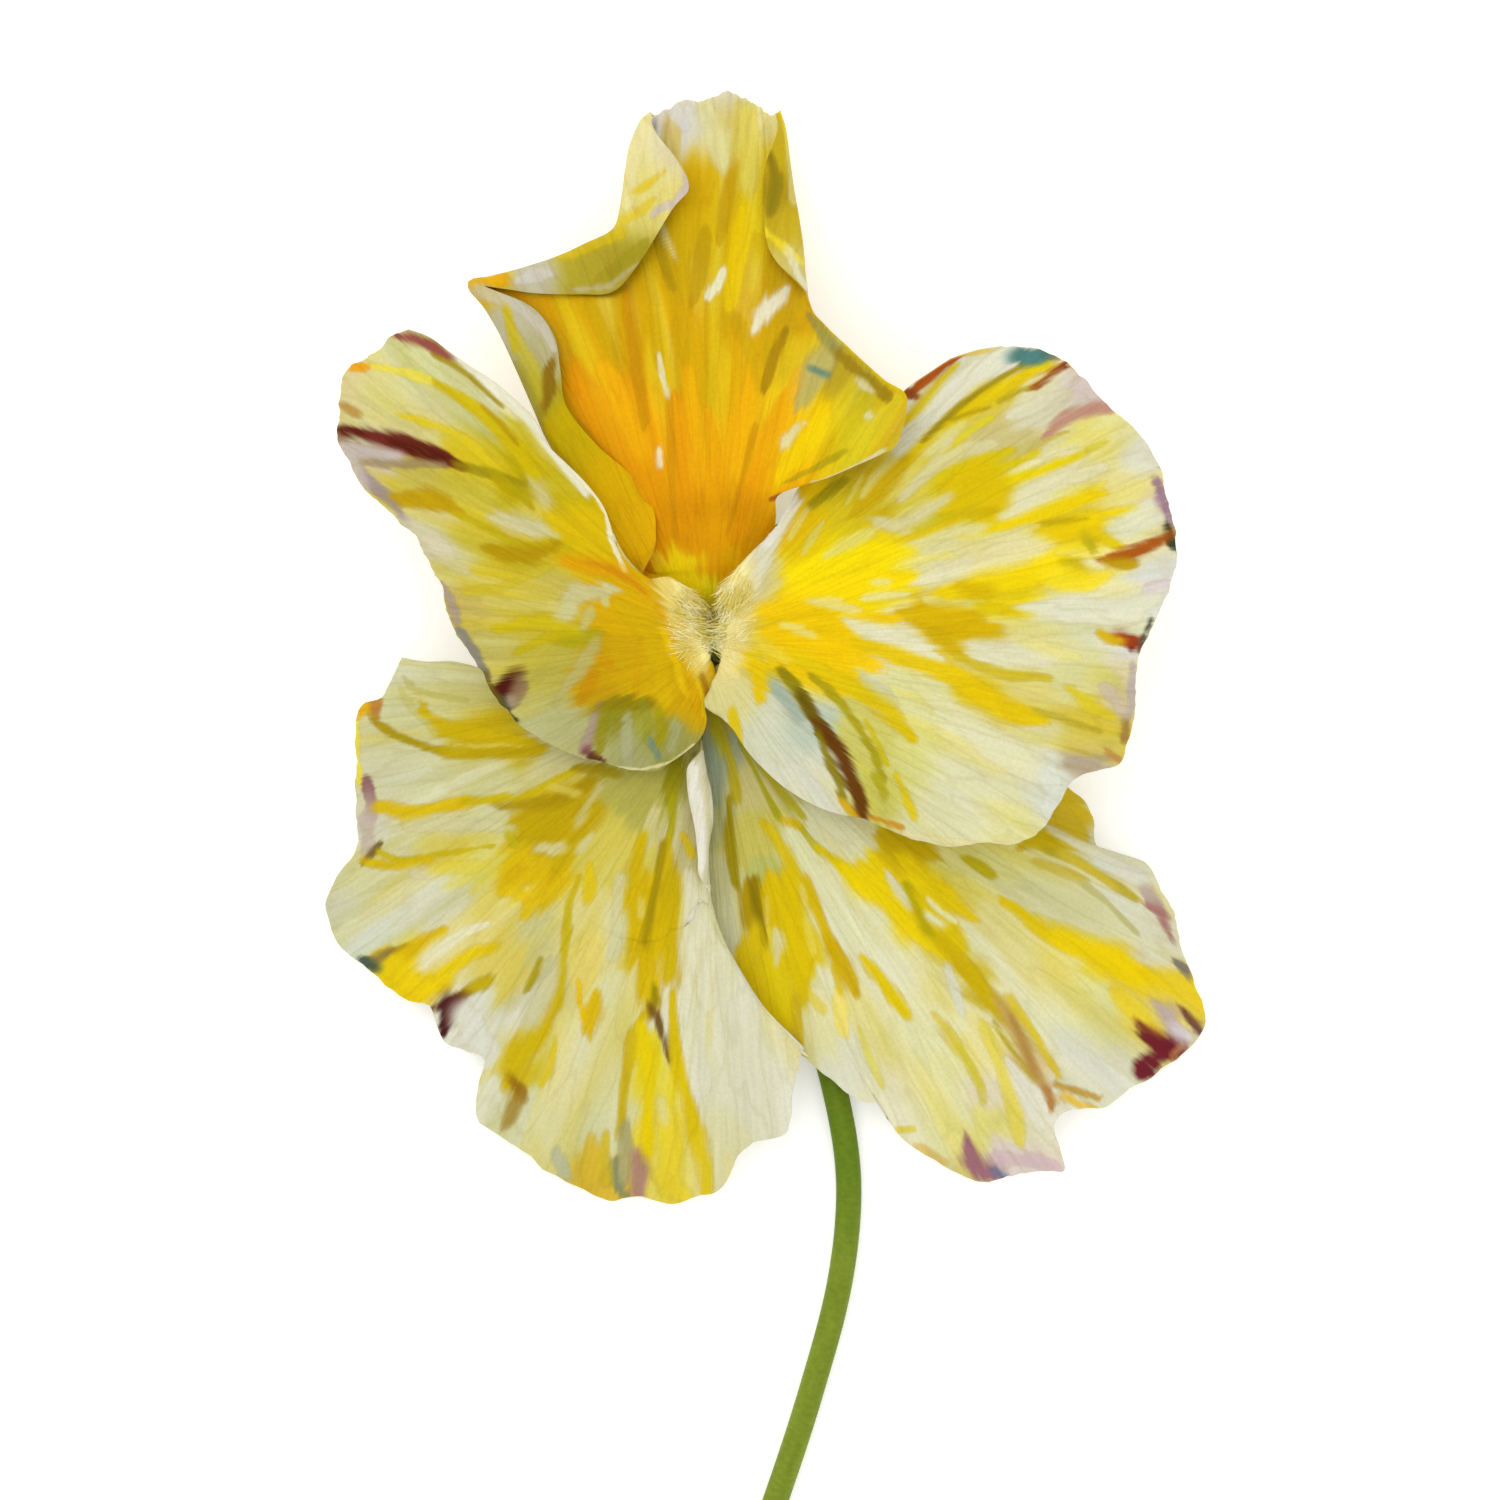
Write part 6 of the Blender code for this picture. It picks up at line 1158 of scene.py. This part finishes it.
def buildSepal(number, form=sepalForm):
    profile = np.array(form["profile"])
    middle = np.stack([profile[:, 0], 0 * profile[:, 0], profile[:, 1]], axis=1)
    marks = runningLength(middle)
    t = np.linspace(0, 1, form["rows"] + 1)
    spot = smoothCurve(middle, marks, t)
    half = smoothCurve(profile[:, 2:], marks, t)[:, :1]
    side = np.linspace(1, -1, form["columns"] + 1)[None]
    turn = math.radians(form["angles"][number - 1])
    out, across = directions(turn)
    lift = 0.16 * np.sqrt(side**2 + 0.01) * half + 0.1 * side * np.sin(9 * t + 2 * number)[:, None]
    rib = -0.09 * np.exp(-(side / 0.13) ** 2) * (1 - 0.5 * t[:, None])
    nerves = -0.035 * (np.exp(-((np.abs(side) - 0.42) / 0.07) ** 2) + np.exp(-((np.abs(side) - 0.72) / 0.06) ** 2))
    height = spot[:, 2:3] + lift * np.minimum(1.0, 2.5 * t)[:, None] + rib + nerves
    grid = (bloomFoot + out * spot[:, 0][:, None, None] + across * (side * half)[..., None]
            + upward * height[..., None])
    edge = np.minimum(np.minimum(1 - side, 1 + side) * 4, (1 - t[:, None]) * 10)
    points, faces = closedSheet(grid, form["rimThickness"] + (form["thickness"] - form["rimThickness"]) * ease(edge))
    leaf, ribTone, margin = (screenTone(form[key]) for key in ("leafTone", "ribTone", "marginTone"))
    along, wide = np.broadcast_arrays(t[:, None], side)
    mottle = grain(along * 14, wide * 5, 80 + number)
    tones = leaf + (ribTone - leaf) * (0.75 * np.exp(-(wide / 0.16) ** 2) + 0.25 * ease(mottle))[..., None]
    tones = tones + (margin - tones) * (0.8 * ease((np.abs(wide) - 0.72) / 0.28))[..., None]
    tones = tones + (screenTone(form["earTone"]) - tones) * (0.8 * (1 - ease(along / 0.3)))[..., None]
    tones = tones + (screenTone(form["tipTone"]) - tones) * ease((along - 0.88) / 0.12)[..., None]
    places = np.stack([wide * 0.5 + 0.5, along], axis=-1).reshape(-1, 2)
    piece = makeMesh(f"leaf_sepal_{number}", points, faces, sepalSkin, np.concatenate([tones.reshape(-1, 3)] * 2),
                     np.concatenate([places, places + [1.1, 0]]))
    settle(piece, f"sepal_{number}")


for number in range(1, 6):
    buildSepal(number)


stemForm = dict(
    steps=230, sides=36, ridge=0.022, lightTone="#7f9022", midTone="#708216", bendShadeTone="#5c7a08", headTone="#b3ab2c",
    cutTone="#c8cf8e", pithTone="#e4e6c4", cutRings=((0.93, 0.0), (0.8, 0.03), (0.5, 0.05), (0.25, 0.09)),
    line=[(0.0, 3.75, 6.02), (0.0, 3.75, 5.85), (0.0, 3.75, 5.3), (0.0, 3.75, 4.8), (0.0, 3.75, 4.35),
          (0.0, 3.72, 3.85), (0.0, 3.6, 3.3), (0.0, 3.0, 2.1), (0.0, 1.9, 1.2), (0.0, 0.6, 0.85),
          (0.1, -1.0, 0.85), (0.9, -5.0, 0.85), (3.9, -14.0, 0.85), (7.4, -23.0, 0.85), (9.6, -31.0, 0.85),
          (10.3, -37.0, 0.85), (9.6, -44.0, 0.85), (7.5, -52.0, 0.85), (4.9, -60.0, 0.85), (1.6, -69.0, 0.85),
          (-2.0, -78.0, 0.85), (-5.5, -86.0, 0.85)],
    radii=[2.36, 2.5, 2.2, 1.75, 1.28, 1.02] + [0.95] * 16,
)
stemSkin = plantFinish("stemSkin", (26.0, 900.0, 1.0), 0.35, 0.05, 0.45, spread=0.09)


def buildStem(form=stemForm):
    line = np.array(form["line"])
    marks = runningLength(line)
    t = np.linspace(0, 1, form["steps"] + 1) ** 1.7
    centres = smoothCurve(line, marks, t)
    radii = smoothCurve(np.array(form["radii"])[:, None], marks, t)[:, 0]
    ridges = lambda angle: 1 + form["ridge"] * np.cos(5 * angle) + 0.4 * form["ridge"] * np.cos(9 * angle + 1)
    rings = tubeGrid(centres, radii, form["sides"], ridges)
    rings[..., 2] = np.maximum(rings[..., 2], 0.0)   # the belly lies flat on the table
    middle = rings[-1].mean(0)
    cut = np.array([middle + (rings[-1] - middle) * size + np.array([0, sink, 0]) for size, sink in form["cutRings"]])
    rings = np.concatenate([rings, cut])
    points, faces = closeTube(rings)
    count, sides = len(rings), form["sides"]
    run = np.concatenate([t, np.ones(len(cut))])[:, None] + np.zeros((count, sides))
    angle = np.arange(sides)[None] / sides + np.zeros((count, sides))
    y = rings[..., 1]
    light, mid, bend, head = (screenTone(form[key]) for key in ("lightTone", "midTone", "bendShadeTone", "headTone"))
    streak = grain(angle * 13, run * 40, 5)[..., None]
    tones = mid + (light - mid) * (0.5 + 0.5 * streak)
    # Painted shade: the stem is darker where it bends out from under the petals, in their shade
    tones = tones + (bend - tones) * (0.75 * np.exp(-((y + 34) / 6) ** 2))[..., None]
    tones = tones + (light - tones) * (0.5 * ease((-46 - y) / 30))[..., None]
    tones = tones + (head - tones) * ease((rings[..., 2] - 2.5) / 2)[..., None]
    tones[-len(cut):] = screenTone(form["cutTone"])
    tones[-2:] = screenTone(form["pithTone"])   # the two inmost rings
    tones = np.concatenate([tones.reshape(-1, 3), tones[0, :1], tones[-1, :1]])
    places = np.stack([angle, run], axis=-1).reshape(-1, 2)
    places = np.concatenate([places, places[:1], places[-1:]])
    settle(makeMesh("stalk_stem", points, faces, stemSkin, tones, places, sharpAngle=50), "stem")


buildStem()


heartForm = dict(
    # Painted light: the stigma tone is brighter than its own colour, to lift the shade of the gap between the lips
    # where it shows
    sides=40, stigmaTone="#e6d61c", styleTone="#e0d02c", ovaryTone="#8fa044", hollowTone="#c8b020",
    profile=[(0.0, 6.02), (0.8, 6.04), (0.88, 6.5), (0.9, 6.9), (0.85, 7.4), (0.6, 7.9), (0.37, 8.2), (0.33, 8.6),
             (0.36, 9.05), (0.55, 9.3), (0.72, 9.6), (0.74, 9.95), (0.58, 10.25), (0.36, 10.36), (0.24, 10.3),
             (0.16, 10.05), (0.0, 9.95)],
    antherCount=5, antherRows=26, antherSides=18, antherFoot=6.04, antherHeight=2.75, antherTone="#cfcf96",
    antherTip="#cf9a34",
)
heartSkin = plantFinish("heartSkin", (30.0, 8.0, 1.0), 1.0, 0.03, 0.42, spread=0.08, glow=0.2)


def buildPistil(form=heartForm):
    profile = np.array(form["profile"])
    marks = runningLength(profile)
    t = np.linspace(0, 1, 64)[1:-1]
    line = smoothCurve(profile, marks, t)
    angle = np.arange(form["sides"]) / form["sides"] * fullTurn
    lean = ease((line[:, 1] - 7.6) / 2.0) * 1.3   # the style bows towards the spurred petal
    rings = np.stack([bloomX + line[:, :1] * np.cos(angle), bloomY + line[:, :1] * np.sin(angle) + lean[:, None],
                      line[:, 1:] + 0 * angle], axis=-1)
    points, faces = closeTube(rings)
    tones = screenTone(form["ovaryTone"]) + np.zeros((len(t), 3))
    for key, start, size in (("styleTone", 7.5, 0.8), ("stigmaTone", 9.1, 0.5)):
        tones = tones + (screenTone(form[key]) - tones) * ease((line[:, 1] - start) / size)[:, None]
    inside = ((t > 0.85) & (line[:, 0] < 0.26))[:, None]
    tones = np.where(inside, screenTone(form["hollowTone"]), tones)
    tones = np.repeat(tones, form["sides"], axis=0)
    places = np.stack(np.meshgrid(angle / fullTurn, t), axis=-1).reshape(-1, 2)
    piece = makeMesh("heart_pistil", points, faces, heartSkin, np.concatenate([tones, tones[:1], tones[-1:]]),
                     np.concatenate([places, places[:1], places[-1:]]))
    settle(piece, "pistil")


def buildStamens(form=heartForm):   # five flat anthers round the ovary, each with a thin orange tip
    points, faces, tones, places = [], [], [], []
    rows, sides = form["antherRows"], form["antherSides"]
    body, tip = screenTone(form["antherTone"]), screenTone(form["antherTip"])
    for number in range(form["antherCount"]):
        turn = (number + 0.5) / form["antherCount"] * fullTurn
        out, across = directions(turn)
        t = np.linspace(0, 1, rows)
        distance = 1.26 - 0.1 * t - 0.3 * ease((t - 0.55) / 0.45)
        width = np.interp(t, [0, 0.06, 0.3, 0.62, 0.8, 0.94, 1], [0.3, 0.52, 0.66, 0.6, 0.5, 0.3, 0.1])
        depth = np.interp(t, [0, 0.08, 0.5, 0.66, 1], [0.06, 0.14, 0.15, 0.07, 0.03])
        angle = np.arange(sides) / sides * fullTurn
        groove = 1 - 0.35 * np.exp(-((np.cos(angle)) / 0.25) ** 2) * (np.sin(angle) > 0)
        height = form["antherFoot"] + form["antherHeight"] * t
        centres = bloomFoot + out * distance[:, None] + upward * height[:, None]
        rings = (centres[:, None] + across * (width[:, None] * np.cos(angle))[..., None]
                 + out * (depth[:, None] * np.sin(angle) * groove)[..., None])
        start = sum(len(p) for p in points)
        got, gotFaces = closeTube(rings, start)
        tone = np.repeat(body + (tip - body) * ease((t - 0.6) / 0.12)[:, None], sides, axis=0)
        points.append(got)
        faces += gotFaces
        tones.append(np.concatenate([tone, tone[:1], tone[-1:]]))
        spots = np.stack(np.meshgrid(angle / fullTurn + number, t), axis=-1).reshape(-1, 2)
        places.append(np.concatenate([spots, spots[:1], spots[-1:]]))
    piece = makeMesh("heart_stamens", np.concatenate(points), faces, heartSkin, np.concatenate(tones),
                     np.concatenate(places))
    settle(piece, "stamens")


buildPistil()
buildStamens()


# The beards: short blunt hairs on the lips of the two side petals
beardForm = dict(density=72.0, length=1.5, radius=0.023, bend=0.25, least=0.4, most=1.2, seed=8,
                 # Painted light: both hair tones are brighter than the hairs' own colour, to lift the shade among the
                 # dense hairs
                 middle=(0.1, 4.6, 10.6), baseTone="#f2dc70", tipTone="#fff2b4", strandSteps=4, strandSides=4,
                 beard_left=("petal_side_left", (686, 626), (28, 56)),   # petal, centre and reach in pixels
                 beard_right=("petal_side_right", (738, 616), (28, 62)))
beardInputs = {"Density": "density", "Hair Length": "length", "Hair Radius": "radius", "Bend": "bend",
               "Least Size": "least", "Most Size": "most"}


def beardFinish(form=beardForm):
    finish, tree, shader = newFinish("beardHair")
    objectSpace = addNode(tree, "ShaderNodeTexCoord")
    patches = noiseOver(tree, objectSpace.outputs["Object"], (1.0, 1.0, 1.0), 900.0, detail=2.0)
    tone = mixTones(tree, "MIX", mapRange(tree, patches, 0.35, 0.65), linearTone(form["baseTone"]),
                    linearTone(form["tipTone"]))
    link(tree, tone, shader.inputs["Base Color"])
    link(tree, mapRange(tree, patches, 0.3, 0.7, 0.45, 0.65), shader.inputs["Roughness"])
    link(tree, addBump(tree, patches, 0.2, 0.01), shader.inputs["Normal"])
    shader.inputs["Subsurface Weight"].default_value = 0.25
    shader.inputs["Subsurface Scale"].default_value = 0.3 * mm
    return finish


def beardTree(finish, form=beardForm):   # hairs over a patch that carries the direction they lean in
    tree = bpy.data.node_groups.new("beardHairs", "GeometryNodeTree")
    sockets = {}
    tree.interface.new_socket("Geometry", in_out="INPUT", socket_type="NodeSocketGeometry")
    tree.interface.new_socket("Geometry", in_out="OUTPUT", socket_type="NodeSocketGeometry")
    for name, key in beardInputs.items():
        socket = tree.interface.new_socket(name, in_out="INPUT", socket_type="NodeSocketFloat")
        socket.default_value = form[key]
        sockets[name] = socket.identifier
    given, result = addNode(tree, "NodeGroupInput"), addNode(tree, "NodeGroupOutput")
    middle = addNode(tree, "ShaderNodeCombineXYZ")
    link(tree, mathNode(tree, "MULTIPLY", given.outputs["Hair Length"], 0.55), middle.inputs["Z"])
    top = addNode(tree, "ShaderNodeCombineXYZ")
    link(tree, given.outputs["Hair Length"], top.inputs["Z"])
    link(tree, given.outputs["Bend"], top.inputs["X"])
    strand = addNode(tree, "GeometryNodeCurveQuadraticBezier")
    strand.inputs["Resolution"].default_value = form["strandSteps"]
    strand.inputs["Start"].default_value = (0, 0, 0)
    link(tree, middle.outputs[0], strand.inputs["Middle"])
    link(tree, top.outputs[0], strand.inputs["End"])
    along = addNode(tree, "GeometryNodeSplineParameter")
    taper = mapRange(tree, along.outputs["Factor"], 0.5, 1.0, 1.0, 0.55)
    width = addNode(tree, "GeometryNodeSetCurveRadius")
    link(tree, strand.outputs["Curve"], width.inputs["Curve"])
    link(tree, taper, width.inputs["Radius"])
    outline = addNode(tree, "GeometryNodeCurvePrimitiveCircle", mode="RADIUS")
    outline.inputs["Resolution"].default_value = form["strandSides"]
    link(tree, given.outputs["Hair Radius"], outline.inputs["Radius"])
    tube = addNode(tree, "GeometryNodeCurveToMesh")
    link(tree, width.outputs["Curve"], tube.inputs["Curve"])
    link(tree, outline.outputs["Curve"], tube.inputs["Profile Curve"])
    tube.inputs["Fill Caps"].default_value = True
    if "Scale" in tube.inputs:
        link(tree, taper, tube.inputs["Scale"])
    spread = addNode(tree, "GeometryNodeDistributePointsOnFaces", distribute_method="RANDOM")
    link(tree, given.outputs["Geometry"], spread.inputs["Mesh"])
    thick = addNode(tree, "GeometryNodeInputNamedAttribute", data_type="FLOAT")
    thick.inputs["Name"].default_value = "thick"
    amount = mathNode(tree, "MULTIPLY", given.outputs["Density"], thick.outputs["Attribute"])
    link(tree, amount, spread.inputs["Density"])
    spread.inputs["Seed"].default_value = form["seed"]
    lean = addNode(tree, "GeometryNodeInputNamedAttribute", data_type="FLOAT_VECTOR")
    lean.inputs["Name"].default_value = "lean"
    jitter = addNode(tree, "FunctionNodeRandomValue", data_type="FLOAT_VECTOR")
    jitter.inputs["Min"].default_value = (-0.28, -0.28, -0.2)
    jitter.inputs["Max"].default_value = (0.28, 0.28, 0.25)
    jitter.inputs["Seed"].default_value = form["seed"] + 1
    towards = addNode(tree, "ShaderNodeVectorMath", operation="ADD")
    link(tree, lean.outputs["Attribute"], towards.inputs[0])
    link(tree, jitter.outputs["Value"], towards.inputs[1])
    align = addNode(tree, "FunctionNodeAlignRotationToVector", axis="Z")
    link(tree, towards.outputs[0], align.inputs["Vector"])
    spin = addNode(tree, "FunctionNodeRandomValue", data_type="FLOAT_VECTOR")
    spin.inputs["Min"].default_value = (0, 0, 0)
    spin.inputs["Max"].default_value = (0, 0, 6.283)
    spin.inputs["Seed"].default_value = form["seed"] + 2
    turned = addNode(tree, "FunctionNodeRotateRotation", rotation_space="LOCAL")
    link(tree, align.outputs["Rotation"], turned.inputs["Rotation"])
    link(tree, spin.outputs["Value"], turned.inputs["Rotate By"])
    size = addNode(tree, "FunctionNodeRandomValue", data_type="FLOAT")
    link(tree, given.outputs["Least Size"], size.inputs[2])
    link(tree, given.outputs["Most Size"], size.inputs[3])
    size.inputs["Seed"].default_value = form["seed"] + 3
    plant = addNode(tree, "GeometryNodeInstanceOnPoints")
    link(tree, spread.outputs["Points"], plant.inputs["Points"])
    link(tree, tube.outputs["Mesh"], plant.inputs["Instance"])
    link(tree, turned.outputs["Rotation"], plant.inputs["Rotation"])
    link(tree, size.outputs[1], plant.inputs["Scale"])
    real = addNode(tree, "GeometryNodeRealizeInstances")
    link(tree, plant.outputs["Instances"], real.inputs["Geometry"])
    dress = addNode(tree, "GeometryNodeSetMaterial")
    dress.inputs["Material"].default_value = finish
    link(tree, real.outputs["Geometry"], dress.inputs["Geometry"])
    link(tree, dress.outputs["Geometry"], result.inputs["Geometry"])
    return tree, sockets


def growBeard(name, tree, sockets, form=beardForm):
    petal, centre, reach = form[name]
    grid, v = laidPetals[petal]
    x, y = pictureSpot(grid)
    far = np.hypot((x - centre[0]) / reach[0], (y - centre[1]) / reach[1])
    inside = (far < 1) & (v < 0.5) & (v > 0.05)
    rows, cols = grid.shape[:2]
    ids = np.arange(rows * cols).reshape(rows, cols)
    quads = inside[:-1, :-1] & inside[1:, :-1] & inside[:-1, 1:] & inside[1:, 1:]
    faces = [(ids[j, i], ids[j, i + 1], ids[j + 1, i + 1], ids[j + 1, i]) for j, i in zip(*np.nonzero(quads))]
    used = sorted({k for face in faces for k in face})
    number = {k: n for n, k in enumerate(used)}
    normals = sheetNormals(grid).reshape(-1, 3)[used]
    spots = grid.reshape(-1, 3)[used] + normals * 0.08
    lean = unit(unit(np.array(form["middle"]) - spots) + normals * 0.4 + np.array([0, 0, 0.1]))
    # The tree works at one unit to a millimetre and the result is brought down to metres
    mesh = bpy.data.meshes.new(name)
    mesh.from_pydata(spots.tolist(), [], [tuple(int(number[k]) for k in face) for face in faces])
    mesh.attributes.new("lean", "FLOAT_VECTOR", "POINT").data.foreach_set("vector", lean.astype(np.float32).ravel())
    piece = bpy.data.objects.new(name, mesh)
    bpy.context.scene.collection.objects.link(piece)
    thick = 1 - ease((far.reshape(-1)[used] - 0.6) / 0.4)
    mesh.attributes.new("thick", "FLOAT", "POINT").data.foreach_set("value", thick.astype(np.float32))
    modifier = piece.modifiers.new("beard", "NODES")
    modifier.node_group = tree
    for title, key in beardInputs.items():
        modifier[sockets[title]] = form[key]
    grown = bpy.data.meshes.new_from_object(piece.evaluated_get(bpy.context.evaluated_depsgraph_get()))
    piece.modifiers.clear()
    piece.data = grown
    places = np.empty(len(grown.vertices) * 3)
    grown.vertices.foreach_get("co", places)
    grown.vertices.foreach_set("co", places * mm)
    grown.shade_smooth()
    grown.update()
    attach(piece, "root")
    print(piece.name, "grown,", len(grown.polygons), "faces")


hairs, hairSockets = beardTree(beardFinish())
for name in ("beard_left", "beard_right"):
    growBeard(name, hairs, hairSockets)


# Stage: a plain near-white floor, soft light from all round, and the camera straight above
studio = dict(floorTone="#fafaf8", floorGlow=0.25, floorReach=1.2, skyTone="#ffffff", skyStrength=1.0, lampPower=2.4,
              lampSize=0.9, keyLamp=((-0.35, 0.45, 0.75), 1.0), fillLamp=((0.5, -0.25, 0.8), 0.35), sensorWidth=36)


def buildStudio(look=studio):
    finish, _, shader = newFinish("floorPaper")
    shader.inputs["Base Color"].default_value = linearTone(look["floorTone"])
    shader.inputs["Roughness"].default_value = 0.9
    shader.inputs["Emission Color"].default_value = (1, 1, 1, 1)
    shader.inputs["Emission Strength"].default_value = look["floorGlow"]
    mesh = bpy.data.meshes.new("floor")
    far = look["floorReach"]
    mesh.from_pydata([(-far, -far, 0), (far, -far, 0), (far, far, 0), (-far, far, 0)], [], [(0, 1, 2, 3)])
    mesh.materials.append(finish)
    floor = bpy.data.objects.new("floor", mesh)
    bpy.context.scene.collection.objects.link(floor)
    floor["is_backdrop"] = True
    world = bpy.data.worlds.new("softRoom")
    bpy.context.scene.world = world
    world.use_nodes = True
    sky = world.node_tree.nodes["Background"]
    sky.inputs["Color"].default_value = linearTone(look["skyTone"])
    sky.inputs["Strength"].default_value = look["skyStrength"]
    for name in ("keyLamp", "fillLamp"):
        place, power = look[name]
        lamp = bpy.data.lights.new(name, "AREA")
        lamp.shape = "DISK"
        lamp.size = look["lampSize"]
        lamp.energy = look["lampPower"] * power
        holder = bpy.data.objects.new(name, lamp)
        holder.location = place
        x, y, z = place
        holder.rotation_euler = (math.atan2(math.hypot(x, y), z), 0, math.atan2(y, x) + math.pi / 2)
        bpy.context.scene.collection.objects.link(holder)
    camera = bpy.data.cameras.new("camera")
    camera.sensor_width = look["sensorWidth"]
    camera.lens = look["sensorWidth"] * (viewHeight - levelHeight) / (pictureSize * mmPerPixel)
    camera.clip_start, camera.clip_end = 0.1, 10
    eye = bpy.data.objects.new("camera", camera)
    eye.location = (viewX * mm, viewY * mm, viewHeight * mm)
    bpy.context.scene.collection.objects.link(eye)
    bpy.context.scene.camera = eye
    bpy.context.scene.view_settings.view_transform = "Standard"
    print("studio ready")


buildStudio()

[[list(map(float, corner)) for corner in box] for box in (cadBox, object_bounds())]
